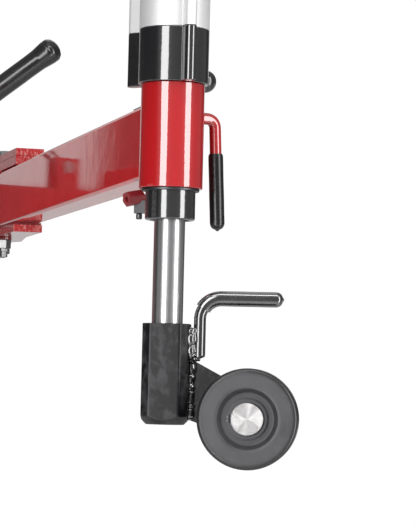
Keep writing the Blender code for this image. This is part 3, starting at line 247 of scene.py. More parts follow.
def addPiece(name, surfaces, finish, body, nodes=(), sharp=40.0):
    # the surfaces become one mesh in the row frame; it rides on its body and stands for its CAD nodes
    vertices, quads, triangles = [], [], []
    offset = 0
    for corners, four, three in surfaces:
        vertices.append(corners)
        quads.append(four + offset)
        triangles.append(three + offset)
        offset += len(corners)
    vertices = np.concatenate(vertices)
    quads = np.concatenate(quads)
    triangles = np.concatenate(triangles)
    loops = np.concatenate([quads.ravel(), triangles.ravel()]).astype(np.int32)
    counts = np.concatenate([np.full(len(quads), 4), np.full(len(triangles), 3)])
    starts = np.concatenate([[0], np.cumsum(counts)[:-1]]).astype(np.int32)
    mesh = bpy.data.meshes.new(name)
    mesh.vertices.add(len(vertices))
    mesh.vertices.foreach_set("co", vertices.astype(np.float32).ravel())
    mesh.loops.add(len(loops))
    mesh.loops.foreach_set("vertex_index", loops)
    mesh.polygons.add(len(counts))
    mesh.polygons.foreach_set("loop_start", starts)
    mesh.update(calc_edges=True)
    mesh.validate()
    mesh.shade_smooth()
    mesh.set_sharp_from_angle(angle=math.radians(sharp))
    mesh.materials.append(finish)
    piece = bpy.data.objects.new(name, mesh)
    scene.collection.objects.link(piece)
    evener = piece.modifiers.new("normals", "WEIGHTED_NORMAL")
    evener.keep_sharp = True
    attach(piece, body)
    if nodes:
        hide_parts(*nodes)
    return piece


class Socket:
    # a shader value or vector that takes part in Python arithmetic
    def __init__(self, graph, socket):
        self.graph = graph
        self.socket = socket

    def joined(self, operation, first, second=None):
        values = {0: first} if second is None else {0: first, 1: second}
        return self.graph.node("ShaderNodeMath", {"operation": operation}, values)

    def __add__(self, other):
        return self.joined("ADD", self, other)

    def __radd__(self, other):
        return self.joined("ADD", other, self)

    def __sub__(self, other):
        return self.joined("SUBTRACT", self, other)

    def __rsub__(self, other):
        return self.joined("SUBTRACT", other, self)

    def __mul__(self, other):
        return self.joined("MULTIPLY", self, other)

    def __rmul__(self, other):
        return self.joined("MULTIPLY", other, self)

    def __pow__(self, other):
        return self.joined("POWER", self, other)

    def __neg__(self):
        return self.joined("MULTIPLY", self, -1.0)


class Graph:
    def __init__(self, tree):
        self.tree = tree

    def feed(self, socket, value):
        if isinstance(value, Socket):
            self.tree.links.new(value.socket, socket)
        elif isinstance(value, (tuple, list)) and len(value) == 3 and socket.type == "RGBA":
            socket.default_value = (*value, 1.0)
        else:
            socket.default_value = value

    def node(self, kind, settings=None, sockets=None, output=0):
        # any node: its settings first, then its sockets' values or links
        made = self.tree.nodes.new(kind)
        for name, value in (settings or {}).items():
            setattr(made, name, value)
        for name, value in (sockets or {}).items():
            self.feed(made.inputs[name], value)
        return Socket(self, made.outputs[output]) if len(made.outputs) else None

    def between(self, value, low, high, first=0.0, last=1.0):
        # the part of value from low to high, eased, given out as first to last
        return self.node("ShaderNodeMapRange", {"interpolation_type": "SMOOTHSTEP", "clamp": True},
                         {"Value": value, "From Min": low, "From Max": high, "To Min": first, "To Max": last})

    def band(self, value, low, high, soft):
        # one from low to high, nought outside, eased over soft at both ends
        return (self.between(value, low - soft, low + soft)
                * self.between(value, high - soft, high + soft, 1.0, 0.0))

    def mixed(self, factor, first, second):
        return self.node("ShaderNodeMix", {"data_type": "RGBA"}, {"Factor": factor, 6: first, 7: second}, 2)


class Finish(Graph):
    def __init__(self, name, colour, roughness, metallic=0.0, coat=0.0, coatRoughness=0.05, coatIor=1.5):
        self.material = bpy.data.materials.new(name)
        self.material.use_nodes = True
        super().__init__(self.material.node_tree)
        self.shader = self.tree.nodes["Principled BSDF"]
        self.put("Base Color", colour)
        self.put("Roughness", roughness)
        self.put("Metallic", metallic)
        self.put("Coat Weight", coat)
        self.put("Coat Roughness", coatRoughness)
        self.put("Coat IOR", coatIor)
        self.place = self.node("ShaderNodeTexCoord", output="Object")

    def put(self, name, value):
        self.feed(self.shader.inputs[name], value)

    def stretched(self, scale, move=(0, 0, 0), turn=(0, 0, 0)):
        return self.node("ShaderNodeMapping", {"vector_type": "POINT"},
                         {"Vector": self.place, "Location": move, "Rotation": turn, "Scale": scale})

    def noise(self, scale, detail=3.0, rough=0.55, vector=None, twist=0.0):
        return self.node("ShaderNodeTexNoise", {"noise_dimensions": "3D"},
                         {"Vector": vector or self.place, "Scale": scale, "Detail": detail,
                          "Roughness": rough, "Distortion": twist}, "Fac")

    def bump(self, height, distance, strength=1.0, name="Normal"):
        self.put(name, self.node("ShaderNodeBump", {},
                                 {"Height": height, "Distance": distance, "Strength": strength}))

    def handled(self):
        # what hands leave on plastics: slow clouds, and light scuffs that run one way
        oneWay = self.stretched((260.0, 260.0, 90.0), turn=(0.4, 0.7, 0.2))
        cloud = self.between(self.noise(38.0, 4.0, 0.62), 0.36, 0.70)
        return cloud, self.between(self.noise(1.0, 3.0, 0.7, oneWay), 0.66, 0.80)

    def fromAxis(self, centre, turn):
        # distance from an axis that lies level, turned about Z from the Y axis
        across = self.node("ShaderNodeVectorMath", {"operation": "SUBTRACT"}, {0: self.place, 1: centre})
        turned = self.node("ShaderNodeVectorRotate", {"rotation_type": "Z_AXIS"},
                           {"Vector": across, "Center": (0, 0, 0), "Angle": turn})
        split = self.node("ShaderNodeSeparateXYZ", {}, {"Vector": turned}, "X")
        depth = Socket(self, split.socket.node.outputs["Z"])
        return (split * split + depth * depth) ** 0.5


def paintFinish(name, colour, dull, roughness=0.30, coat=1.0, peel=0.00003, coatIor=2.0, coatRoughness=0.028,
                wave=1.0, cut=0.0, specular=0.2):
    # sprayed paint: slow drift in shade, orange peel, fine upright rubs, and a few dull specks
    made = Finish(name, colour, roughness, coat=coat, coatRoughness=coatRoughness, coatIor=coatIor)
    made.put("Specular IOR Level", specular)
    drift = made.noise(14.0, 4.0)
    rubs = made.noise(1.0, 3.0, 0.7, made.stretched((900.0, 900.0, 18.0)))
    speck = made.between(made.noise(420.0, 2.0), 0.70, 0.78)
    rubbed = made.between(rubs, 0.62, 0.80) * made.between(made.noise(9.0, 2.0), 0.45, 0.70)
    shade = made.between(drift, 0.3, 0.7)
    tone = made.mixed(rubbed * 0.25 + speck * 0.18, made.mixed(shade, colour, dull),
                      tuple(0.5 * c + 0.05 for c in colour))
    dullness = roughness + shade * 0.08 + rubbed * 0.20
    gloss = coat * (1.0 - rubbed * 0.35 - speck * 0.3)
    height = made.noise(520.0, 2.0, 0.5) * 0.8 + rubs * 0.12
    if cut:
        # sawn or flame-cut edges, the faces that don't lie level: upright drag lines under thin paint
        normal = made.node("ShaderNodeNewGeometry", output="Normal")
        facing = made.node("ShaderNodeSeparateXYZ", {}, {"Vector": normal}, "Z")
        edge = made.between(facing * facing, 0.3, 0.6, 1.0, 0.0) * cut
        drag = made.noise(1.0, 4.0, 0.7, made.stretched((430.0, 430.0, 150.0)), 0.6)
        chip = made.between(drag, 0.50, 0.62) * edge
        tone = made.mixed(chip * 0.55, tone, (0.62, 0.30, 0.28))
        dullness = dullness + edge * 0.15
        gloss = gloss * (1.0 - edge * 0.55)
        height = height + drag * edge * 9.0
    made.put("Base Color", tone)
    made.put("Roughness", dullness)
    made.put("Coat Weight", gloss)
    made.bump(height, peel * 8.0, 0.35)
    ripple = made.noise(300.0, 2.0, 0.5) + made.noise(36.0, 2.0, 0.5) * 3.0
    made.bump(ripple + rubs * 0.25, 0.000022 * wave, 0.6, "Coat Normal")
    return made.material


def metalFinish(name, colour, roughness, grainSize, depth=0.00002, stain=0.12):
    # bare or plated metal: fine grain and cloudy handling marks
    made = Finish(name, colour, roughness, metallic=1.0)
    grain = made.noise(1.0, 3.0, 0.65, made.stretched((grainSize, grainSize, grainSize)))
    cloud = made.between(made.noise(45.0, 4.0, 0.6), 0.35, 0.72)
    made.put("Base Color", made.mixed(cloud * stain + grain * 0.10, colour, tuple(0.7 * c for c in colour)))
    made.put("Roughness", roughness + (grain - 0.5) * 0.10 + cloud * 0.05)
    made.bump(grain, depth * 2.0, 0.45)
    return made.material


def mouldedFinish(name, colour, roughness, grainSize=700.0, depth=0.00004, pale=1.8, coat=0.0, coatIor=1.5):
    # moulded vinyl, nylon or rubber: fine grain, slow gloss changes, light handling scuffs
    made = Finish(name, colour, roughness, coat=coat, coatRoughness=0.07, coatIor=coatIor)
    grain = made.noise(grainSize, 3.0, 0.6)
    cloud, scuff = made.handled()
    worn = tuple(c * pale + 0.01 for c in colour)
    made.put("Base Color", made.mixed(scuff * 0.5 + cloud * 0.2, colour, worn))
    made.put("Roughness", roughness + cloud * 0.10 + scuff * 0.12 + (grain - 0.5) * 0.06)
    made.bump(grain * 0.6 + made.noise(90.0, 2.0) * 2.0, depth * 3.0, 0.4)
    return made.material


def rollerFinish(name, centre, axisTurn):
    # cast nylon: painted shade on the rounded rim and on the recess wall, a scuffed face between, faint rings
    made = Finish(name, (0.05, 0.05, 0.054), 0.40)
    radius = made.fromAxis(centre, axisTurn)
    shadedRim = made.between(radius, 0.0446, 0.0505)
    wall = made.band(radius, 0.0272, 0.0328, 0.0007)
    boss = made.between(radius, 0.0225, 0.0238, 1.0, 0.0)
    cloud, scuff = made.handled()
    grain = made.noise(650.0, 3.0, 0.6)
    rings = made.node("ShaderNodeMath", {"operation": "SINE"}, {0: radius * 5200.0 + made.noise(30.0) * 4.0})
    face = made.mixed(cloud * 0.30 + scuff * 0.4 + boss * 0.05, (0.040, 0.040, 0.043), (0.075, 0.075, 0.079))
    # painted shade: the rounded rim and the recess wall drawn towards near black
    made.put("Base Color", made.mixed(shadedRim * 0.92 + wall * 0.22, face, (0.010, 0.010, 0.011)))
    made.put("Roughness", 0.40 + cloud * 0.08 + scuff * 0.12 - shadedRim * 0.10)
    made.bump(grain * 0.6 + made.noise(90.0, 2.0) * 2.0 + rings * 0.25, 0.00009, 0.4)
    return made.material


def satinBlackFinish(name):
    # satin black over a sawn block: broad cloudy grey patches where the spray lies dry, upright streaks
    made = Finish(name, (0.02, 0.02, 0.021), 0.36, coat=0.10, coatRoughness=0.25)
    made.put("Specular IOR Level", 0.32)
    patch = made.between(made.noise(1.0, 4.0, 0.6, made.stretched((75.0, 75.0, 46.0)), 0.2), 0.42, 0.64)
    elsewhere = made.stretched((110.0, 110.0, 80.0), (3.0, 1.0, 2.0))
    blot = made.between(made.noise(1.0, 3.0, 0.55, elsewhere), 0.50, 0.62)
    streak = made.noise(1.0, 3.0, 0.6, made.stretched((600.0, 600.0, 22.0)))
    dust = made.between(made.noise(700.0, 2.0), 0.60, 0.72)
    made.put("Base Color", made.mixed(patch * 0.55 + dust * 0.22 - blot * 0.25, (0.004, 0.004, 0.005),
                                      (0.050, 0.050, 0.053)))
    made.put("Roughness", 0.34 + patch * 0.16 + (streak - 0.5) * 0.10 + dust * 0.10)
    made.bump(made.noise(340.0, 3.0, 0.6) + streak * 0.5, 0.00012, 0.45)
    return made.material


def chromeFinish(name):
    # ground and hard-chromed rod: rings from the grinding, faint upright wear lines
    made = Finish(name, (0.62, 0.62, 0.63), 0.34, metallic=1.0, coat=1.0, coatRoughness=0.11, coatIor=2.3)
    rings = made.noise(1.0, 3.0, 0.7, made.stretched((30.0, 30.0, 5200.0)))
    wear = made.noise(1.0, 3.0, 0.6, made.stretched((1500.0, 1500.0, 7.0)))
    cloud = made.between(made.noise(60.0, 3.0), 0.4, 0.7)
    made.put("Base Color", made.mixed(cloud * 0.12 + wear * 0.10, (0.42, 0.42, 0.43), (0.28, 0.28, 0.29)))
    made.put("Roughness", 0.30 + rings * 0.06 + made.between(wear, 0.6, 0.8) * 0.08)
    made.bump(rings * 0.5 + wear * 0.5, 0.00002, 0.30)
    return made.material


def aluminiumFinish(name):
    # satin extrusion: long upright die lines of several widths, small dark pits
    made = Finish(name, (0.80, 0.805, 0.81), 0.52, metallic=0.6)
    fine = made.noise(1.0, 3.0, 0.7, made.stretched((2200.0, 2200.0, 3.0)))
    broad = made.noise(1.0, 2.0, 0.5, made.stretched((260.0, 260.0, 1.5)))
    pit = made.between(made.noise(800.0, 2.0), 0.74, 0.80)
    made.put("Base Color", made.mixed(fine * 0.18 + broad * 0.12 + pit * 0.3, (0.68, 0.68, 0.685),
                                      (0.50, 0.50, 0.505)))
    made.put("Roughness", 0.50 + fine * 0.10 + broad * 0.05)
    made.bump(fine * 0.6 + broad * 0.6, 0.00003, 0.35)
    return made.material


def facedFinish(name, centre, axisTurn):
    # steel faced on a lathe: rings about the axle's axis, that swing the light round the face
    made = Finish(name, (0.60, 0.59, 0.59), 0.20, metallic=1.0)
    radius = made.fromAxis(centre, axisTurn)
    rings = made.node("ShaderNodeMath", {"operation": "SINE"}, {0: radius * 14000.0 + made.noise(50.0) * 3.0})
    smear = made.noise(1.0, 2.0, 0.6, made.stretched((500.0, 500.0, 500.0)))
    mark = made.between(made.noise(160.0, 3.0), 0.64, 0.74)
    made.put("Base Color", made.mixed(mark * 0.4 + smear * 0.1, (0.42, 0.41, 0.41), (0.25, 0.24, 0.24)))
    made.put("Roughness", 0.16 + smear * 0.10 + mark * 0.15)
    made.bump(rings, 0.00006, 0.9)
    return made.material


swing = math.radians(-74.3)
rodTurn = math.radians(-4.5)
armFrame = matrixOf((0.26, 0, 0), swing)
columnFrame = matrixOf((0.26 + math.cos(swing), math.sin(swing), 0))
rodFrame = matrixOf((0, 0, 0), rodTurn, after=columnFrame)
wheelPlace = (0.0887, 0, -0.2928)
wheelFrame = matrixOf(wheelPlace, turnX=math.pi / 2, after=rodFrame)
wheelCentre = tuple(float(v) for v in wheelFrame[:3, 3])

redPair = ((0.365, 0.004, 0.007), (0.32, 0.003, 0.005))
redPaint = paintFinish("red enamel", *redPair)
# painted light: a lighter copy of the red enamel for the arm tube, standing in for light falling on its side
# face
litArmPaint = paintFinish("red enamel painted lighter on the arm", (0.53, 0.004, 0.008), (0.46, 0.003, 0.006),
                       coatRoughness=0.032, wave=1.4, specular=0.04)
cutPaint = paintFinish("red enamel on cut plate", *redPair, cut=1.0)
darkRedPaint = paintFinish("red enamel in shade", (0.22, 0.012, 0.016), (0.14, 0.008, 0.012), 0.42, 0.4)
blackPair = ((0.011, 0.011, 0.012), (0.007, 0.007, 0.008))
glossBlack = paintFinish("gloss black enamel", *blackPair, 0.24, 1.0, 0.00005, coatIor=2.05,
                         coatRoughness=0.07, wave=3.0)
weldBlack = paintFinish("gloss black over weld", *blackPair, 0.20, coatIor=2.2, coatRoughness=0.04)
satinBlack = satinBlackFinish("satin black enamel")
blackOxide = metalFinish("black oxide", (0.09, 0.09, 0.095), 0.38, 500.0)
aluminium = aluminiumFinish("satin aluminium")
chrome = chromeFinish("hard chrome")
zinc = metalFinish("zinc plate", (0.26, 0.26, 0.26), 0.34, 650.0, depth=0.00003, stain=0.35)
facedSteel = facedFinish("lathe-faced steel", wheelCentre, -rodTurn)
bronze = metalFinish("sintered bronze", (0.50, 0.33, 0.15), 0.42, 900.0)
brass = metalFinish("nickel brass", (0.66, 0.60, 0.46), 0.25, 700.0)
rubber = mouldedFinish("seal rubber", (0.018, 0.018, 0.018), 0.55)
vinyl = mouldedFinish("black vinyl", (0.007, 0.007, 0.008), 0.17, 900.0, 0.00001, 1.7, 0.5)
dullVinyl = mouldedFinish("black vinyl gone dull", (0.006, 0.006, 0.007), 0.24, 900.0, 0.00001, 1.7, 0.1)
glossVinyl = mouldedFinish("glossy black vinyl", (0.007, 0.007, 0.008), 0.14, 900.0, 0.00001, 1.7, 1.0, 2.1)
nylon = rollerFinish("dark nylon", wheelCentre, -rodTurn)
greyPlastic = mouldedFinish("grey plastic", (0.075, 0.075, 0.08), 0.45)
phenolic = mouldedFinish("black phenolic", (0.012, 0.012, 0.012), 0.12, 300.0, 0.00001, 1.5, 0.6)
print("finishes made:", len(bpy.data.materials))


view = dict(place=(0.571868, -3.270524, -0.254276), lens=151.43, pitch=3.1018, roll=1.3810)
pitch, roll = math.radians(view["pitch"]), math.radians(view["roll"])
rise = Vector((0, -math.sin(pitch), math.cos(pitch)))
right = Vector((1, 0, 0)) * math.cos(roll) + rise * math.sin(roll)
upward = Vector((-1, 0, 0)) * math.sin(roll) + rise * math.cos(roll)
lens = bpy.data.cameras.new("camera")
lens.lens = view["lens"]
lens.sensor_width = 36.0
lens.sensor_fit = "AUTO"
lens.clip_end = 60.0
camera = bpy.data.objects.new("camera", lens)
scene.collection.objects.link(camera)
facing = Matrix((right, upward, right.cross(upward))).transposed()
camera.matrix_world = Matrix.Translation(view["place"]) @ facing.to_4x4()
scene.camera = camera

lamps = {
    "left strip": dict(place=(-0.20, -2.35, 0.05), size=(0.66, 2.6), power=34.0, aim=(0.53, -0.96, 0.05)),
    "right strip": dict(place=(1.95, -1.80, 0.05), size=(0.62, 2.6), power=31.0, aim=(0.53, -0.96, 0.05)),
    "brow strip": dict(place=(0.62, -1.82, 1.45), size=(1.6, 0.26), power=11.0, aim=(0.62, -1.0, -0.20)),
    "top panel": dict(place=(0.2, -1.6, 2.2), size=(2.2, 1.6), power=5.0, aim=(0.45, -0.8, 0.0)),
}
for name, lamp in lamps.items():
    data = bpy.data.lights.new(name, "AREA")
    data.shape = "RECTANGLE"
    data.size, data.size_y = lamp["size"]
    data.energy = lamp["power"]
    shown = bpy.data.objects.new(name, data)
    scene.collection.objects.link(shown)
    shown.location = lamp["place"]
    shown.rotation_euler = (Vector(lamp["aim"]) - Vector(lamp["place"])).to_track_quat("-Z", "Y").to_euler()

# The room as a direction: a grey front, darker sides with one pale door, a bright back wall that ends at an
# upright edge and above a low sill, a low red band behind on the left, a soft ceiling; seen straight on it is
# white
room = dict(base=0.045, front=0.22, frontFrom=-0.9, frontTo=1.30, door=0.42, doorFrom=-1.60, doorTo=-1.15,
            side=0.15, sideTo=2.30, back=0.62, backFrom=-0.35, backTo=0.4965, backSoft=0.0040,
            sillFrom=0.0820, sillTo=0.0875, ground=0.52, ceiling=0.30, seen=1.02, lowFrom=-0.01, lowTo=0.085,
            red=0.20, redFrom=-2.75, redTo=-2.05)
world = bpy.data.worlds.new("studio")
world.use_nodes = True
scene.world = world
world.node_tree.nodes.clear()
sky = Graph(world.node_tree)
way = sky.node("ShaderNodeSeparateXYZ", {}, {"Vector": sky.node("ShaderNodeTexCoord", output="Generated")})
wayX, wayY, wayZ = (Socket(sky, way.socket.node.outputs[axis]) for axis in "XYZ")
around = way.joined("ARCTAN2", wayX, -wayY)
behind = way.joined("ARCTAN2", -wayX, wayY)
glow = room["base"] + sky.band(around, room["frontFrom"], room["frontTo"], 0.15) * room["front"]
low = sky.band(wayZ, room["lowFrom"], room["lowTo"], 0.004)
glow = glow + sky.band(around, room["doorFrom"], room["doorTo"], 0.06) * low * room["door"]
redBand = sky.band(around, room["redFrom"], room["redTo"], 0.06) * low
glow = glow + redBand * room["red"]
glow = glow + sky.band(around, room["frontTo"], room["sideTo"], 0.12) * room["side"]
glow = glow + (sky.band(behind, room["backFrom"], room["backTo"], room["backSoft"])
               * sky.between(wayZ, room["sillFrom"], room["sillTo"]) * room["back"])
glow = glow + sky.band(behind, -1.2, 1.2, 0.1) * sky.between(wayZ, -0.02, -0.06) * room["ground"]
glow = glow + sky.between(wayZ, 0.35, 0.95) * room["ceiling"]
tint = sky.mixed(redBand, (1.0, 1.0, 1.0), (1.0, 0.42, 0.44))
straight = sky.node("ShaderNodeLightPath", output="Is Camera Ray")
strength = glow * (1.0 - straight) + straight * room["seen"]
light = sky.node("ShaderNodeBackground", {}, {"Color": tint, "Strength": strength})
sky.node("ShaderNodeOutputWorld", {}, {"Surface": light})
scene.view_settings.view_transform = "Standard"
scene.view_settings.look = "None"

floorSize = dict(low=-1.15, half=3.2, middle=(0.4, -0.9))
corners = [(floorSize["middle"][0] + sx * floorSize["half"], floorSize["middle"][1] + sy * floorSize["half"],
            floorSize["low"]) for sx, sy in ((-1, -1), (1, -1), (1, 1), (-1, 1))]
floorMesh = bpy.data.meshes.new("floor")
floorMesh.from_pydata(corners, [], [(0, 1, 2, 3)])
pale = Finish("pale floor", (0.80, 0.80, 0.80), 0.6)
pale.put("Base Color", pale.mixed(pale.noise(3.0), (0.78, 0.78, 0.78), (0.84, 0.84, 0.84)))
floorMesh.materials.append(pale.material)
floor = bpy.data.objects.new("floor", floorMesh)
scene.collection.objects.link(floor)
floor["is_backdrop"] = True
print("camera, lamps and floor set")


sleeve = dict(radius=0.0336, low=-0.0537, high=0.0562, edge=0.0007, ringRadius=0.0304, ringLow=-0.0565,
              bushRadius=0.0264, bushLow=-0.0870, rodRadius=0.0163)


def sleeveWave(angle, height):
    # drawn tube: a slight three-lobed wave, under a tenth of a millimetre
    return 0.00004 * np.sin(3 * angle + 40 * height) + 0.00003 * np.sin(7 * angle - 25 * height)


rows = np.linspace(sleeve["high"] - 0.003, sleeve["low"] + 0.003, 28)
inside = sleeve["bushRadius"] + gap
outer = roundedPath([(inside + 0.001, sleeve["high"]), (sleeve["radius"], sleeve["high"]),
                     (sleeve["radius"], rows[0])], sleeve["edge"])
outer = np.concatenate([outer, [(sleeve["radius"], z) for z in rows[1:-1]],
                        roundedPath([(sleeve["radius"], rows[-1]), (sleeve["radius"], sleeve["low"]),
                                     (inside + 0.001, sleeve["low"])], sleeve["edge"]),
                        [(inside, sleeve["low"]), (inside, sleeve["high"])]])
addPiece("sleeveShell", [turnedSurface(outer, columnFrame, 160, True, sleeveWave)], redPaint, "arm",
         ["column_sleeve"])
ringHigh = sleeve["low"] - gap
ringProfile = roundedPath([(inside, ringHigh), (sleeve["ringRadius"], ringHigh),
                           (sleeve["ringRadius"], sleeve["ringLow"]), (inside, sleeve["ringLow"])],
                          0.0004, closed=True)
addPiece("retainingRing", [turnedSurface(ringProfile, columnFrame, 128, True)], blackOxide, "arm",
         ["retaining_ring"])
bore = sleeve["rodRadius"] + gap
lip = sleeve["bushLow"] + 0.0052
bushProfile = np.concatenate([
    roundedPath([(sleeve["bushRadius"], 0.052), (sleeve["bushRadius"], sleeve["bushLow"]),
                 (bore + 0.0044, sleeve["bushLow"]), (bore + 0.0044, lip)], 0.0021, 7),
    [(bore, lip), (bore, 0.052)]])
addPiece("guideBush", [turnedSurface(bushProfile, columnFrame, 128, True)], glossBlack, "arm",
         ["guide_bush"])
wiperProfile = roundedPath([(bore, lip - 0.0003), (bore + 0.0041, lip - 0.0003),
                            (bore + 0.0041, sleeve["bushLow"] + 0.0004),
                            (bore + 0.0018, sleeve["bushLow"] + 0.0006),
                            (bore, sleeve["bushLow"])], 0.0005, closed=True)
addPiece("rodWiper", [turnedSurface(wiperProfile, columnFrame, 96, True)], rubber, "arm",
         ["rod_wiper"])

rib = dict(body=0.0372, nose=0.0062, reach={24.0: 0.0494, -124.0: 0.0583, 138.0: 0.0494}, root=0.0012)


def ribbedOutline():
    # round body with three lugs: each lug's flanks run straight out to a round nose, with a small arc where
    # they leave the body; the arcs between lugs are stepped every three degrees
    spread = math.degrees(math.asin(rib["nose"] / rib["body"]))
    starts = sorted(((angle - 90.0) % 360.0, reach) for angle, reach in rib["reach"].items())
    corners, radii = [], []
    for index, (centre, reach) in enumerate(starts):
        turn = math.radians(centre)
        spin = np.array([[math.cos(turn), -math.sin(turn)], [math.sin(turn), math.cos(turn)]])
        nose = np.linspace(-np.pi / 2, np.pi / 2, 13)
        lug = np.stack([reach - rib["nose"] * (1 - np.cos(nose)), rib["nose"] * np.sin(nose)], -1)
        foot = rib["body"] * math.cos(math.radians(spread))
        lug = np.concatenate([[(foot, -rib["nose"])], lug, [(foot, rib["nose"])]])
        corners += list(lug @ spin.T)
        radii += [rib["root"]] + [0.0] * len(nose) + [rib["root"]]
        following = starts[(index + 1) % 3][0]
        following += 360.0 if following <= centre else 0.0
        steps = round((following - centre) / 3.0)
        angles = np.radians(np.linspace(centre + spread, following - spread, steps + 1)[1:-1])
        corners += [np.array((rib["body"] * math.cos(a), rib["body"] * math.sin(a))) for a in angles]
        radii += [0.0] * len(angles)
    return roundedPath(np.array(corners), np.array(radii), 4, closed=True)


ribbed = ribbedOutline()
stack = {
    "lowerCap": dict(low=0.0565, high=0.1140, edge=0.0010, steps=4, finish=glossBlack,
                     slot="black_gloss_paint", node="lower_cap"),
    "cylinderBarrel": dict(low=0.1143, high=0.4453, edge=0.0003, steps=2, finish=aluminium, slot="aluminium",
                           node="barrel"),
    "upperCap": dict(low=0.4456, high=0.4886, edge=0.0010, steps=4, finish=glossBlack,
                     slot="black_gloss_paint", node="upper_cap"),
}
for name, one in stack.items():
    addPiece(name, [drawnSurface(ribbed, one["low"], one["high"], columnFrame, one["edge"], one["steps"])],
             one["finish"], "arm", [one["node"]])
print("column made")


arm = dict(width=0.040, height=0.080, wall=0.004, corner=0.0045, start=0.098, length=1.0)


def sectionOutline(width, height, corner):
    x, y = width / 2, height / 2
    return roundedPath([(x, -y), (x, y), (-x, y), (-x, -y)], corner, 6, closed=True)


def saddleAt(y, radius):
    # how far along X a line at y runs before it meets the upright cylinder at the arm's end
    return arm["length"] - np.sqrt(radius ** 2 - y ** 2)


def tubeRun(section, start, radius):
    # one skin of a tube along X: each point of the section runs to where its own line meets the saddle cut
    t = np.linspace(0, 1, 24)[:, None]
    x = start + (saddleAt(section[:, 0], radius)[None] - start) * t
    return np.stack([x, np.broadcast_to(section[:, 0], x.shape), np.broadcast_to(section[:, 1], x.shape)], -1)


cutRadius = sleeve["radius"] + 0.0002
armOuter = sectionOutline(arm["width"], arm["height"], arm["corner"])
armInner = sectionOutline(arm["width"] - 2 * arm["wall"], arm["height"] - 2 * arm["wall"], arm["corner"] / 2)
armSkins = np.concatenate([tubeRun(armOuter, arm["start"], cutRadius),
                           tubeRun(armInner, arm["start"], cutRadius)[::-1]])
addPiece("armTube", [gridSurface(placed(armSkins, armFrame), closeRows=True)], litArmPaint, "arm",
         ["arm_tube"], 50.0)

around = evenly(np.concatenate([armOuter, armOuter[:1]]), 0.002)[0]
saddlePath = np.column_stack([saddleAt(around[:, 0], sleeve["radius"] + 0.0006), around[:, 0] * 1.015,
                              around[:, 1] * 1.012])
addPiece("sleeveWeld", [weldSurface(placed(saddlePath, armFrame), 0.0019, (0.1, 0.05, 0.99), 3, lump=0.16)],
         redPaint, "arm")
print("arm made")


rod = dict(radius=0.0163, thread=0.0098, top=0.3728, shoulder=0.3247, foot=-0.2252)
rodProfile = roundedPath([(rod["thread"] - 0.001, rod["top"]), (rod["thread"], rod["top"] - 0.001),
                          (rod["thread"], rod["shoulder"]), (rod["radius"], rod["shoulder"]),
                          (rod["radius"], rod["foot"]), (0.014, rod["foot"])], 0.0003, 2)
addPiece("pistonRod", [turnedSurface(rodProfile, rodFrame, 128)], chrome, "rod_end", ["rod"])

block = dict(size=0.0486, chamfer=0.0082, low=-0.3010, high=-0.1955, coneRadius=0.0200)
half = block["size"] / 2
chamferDistance = (2 * half - block["chamfer"]) / math.sqrt(2)
planes = [(math.radians(a), half) for a in (0, 90, 180, 270)]
planes += [(math.radians(a), chamferDistance) for a in (45, 135, 225, 315)]
wide = 0.034
cone = block["coneRadius"]
blockProfile = np.concatenate([
    [(0.006, block["low"]), (0.014, block["low"]), (cone - 0.0012, block["low"])],
    [(cone + h, block["low"] + h) for h in np.linspace(0.0, 0.0125, 26)],
    [(wide, z) for z in np.linspace(block["low"] + 0.0135, block["high"] - 0.0012, 26)],
    [(half - 0.0006 + 0.011 * math.cos(t) - 0.0009, block["high"] - 0.0011 * (1 - math.sin(t)))
     for t in np.linspace(0, math.pi / 2, 8)],
    [(0.020, block["high"]), (0.0167, block["high"]), (0.0167, block["high"] - 0.004)]])
addPiece("rodBlock", [postSurface(planes, blockProfile, rodFrame, 256, 0.00035)], satinBlack, "rod_end",
         ["rod_block"], 50.0)

plate = dict(thick=0.010, eye=0.0246, top=-0.2315, bottom=-0.2955, side=half + gap)
eyeX, _, eyeZ = wheelPlace
eyeAngles = np.radians(np.linspace(-98, 62, 60))
plateOutline = ([(plate["side"], plate["bottom"])]
                + [(eyeX + plate["eye"] * math.cos(a), eyeZ + plate["eye"] * math.sin(a)) for a in eyeAngles]
                + [(plate["side"], plate["top"])])
plateOutline = evenly(plateOutline + plateOutline[:1], 0.0015)[0][:-1]
acrossY = matrixOf(turnX=math.pi / 2, after=rodFrame)
addPiece("rollerPlate", [drawnSurface(plateOutline, -plate["thick"], 0.0, acrossY, 0.0007, 3)], satinBlack,
         "rod_end", ["roller_plate"])

crank = dict(bar=0.0063, reach=0.035, foot=-0.2315, gripHeight=-0.1684, tip=0.1226, bend=0.022, side=-0.0065,
             grip=0.0081, gripStart=0.0525)
crankLine = roundedPath([(crank["reach"], crank["side"], crank["foot"]),
                         (crank["reach"], crank["side"], crank["gripHeight"]),
                         (crank["tip"], crank["side"], crank["gripHeight"])], crank["bend"], 24)
barPath, along = evenly(crankLine, 0.0016)
keep = along < along[-1] - 0.012
barEnd = np.sqrt(np.clip(1 - (1 - np.clip(along[keep] / 0.0025, 0, 1)) ** 2, 0.04, 1))
upright = (0.0, 1.0, 0.0)
addPiece("crankBar", [barSurface(barPath[keep], crank["bar"] * barEnd, upright, rodFrame, 48)], glossBlack,
         "rod_end", ["crank_bar"])
total = along[-1]
gripPath, along = evenly(crankLine, 0.0016, towardsTip(total))
keep = along > crank["gripStart"]
gripRadius = gripRadiusAt(along[keep], crank["gripStart"], total, crank["grip"], 0.0080, 0.0011, 190, 0.0008)
addPiece("crankGrip", [barSurface(gripPath[keep], gripRadius, upright, rodFrame, 56)], glossVinyl, "rod_end",
         ["crank_grip"])

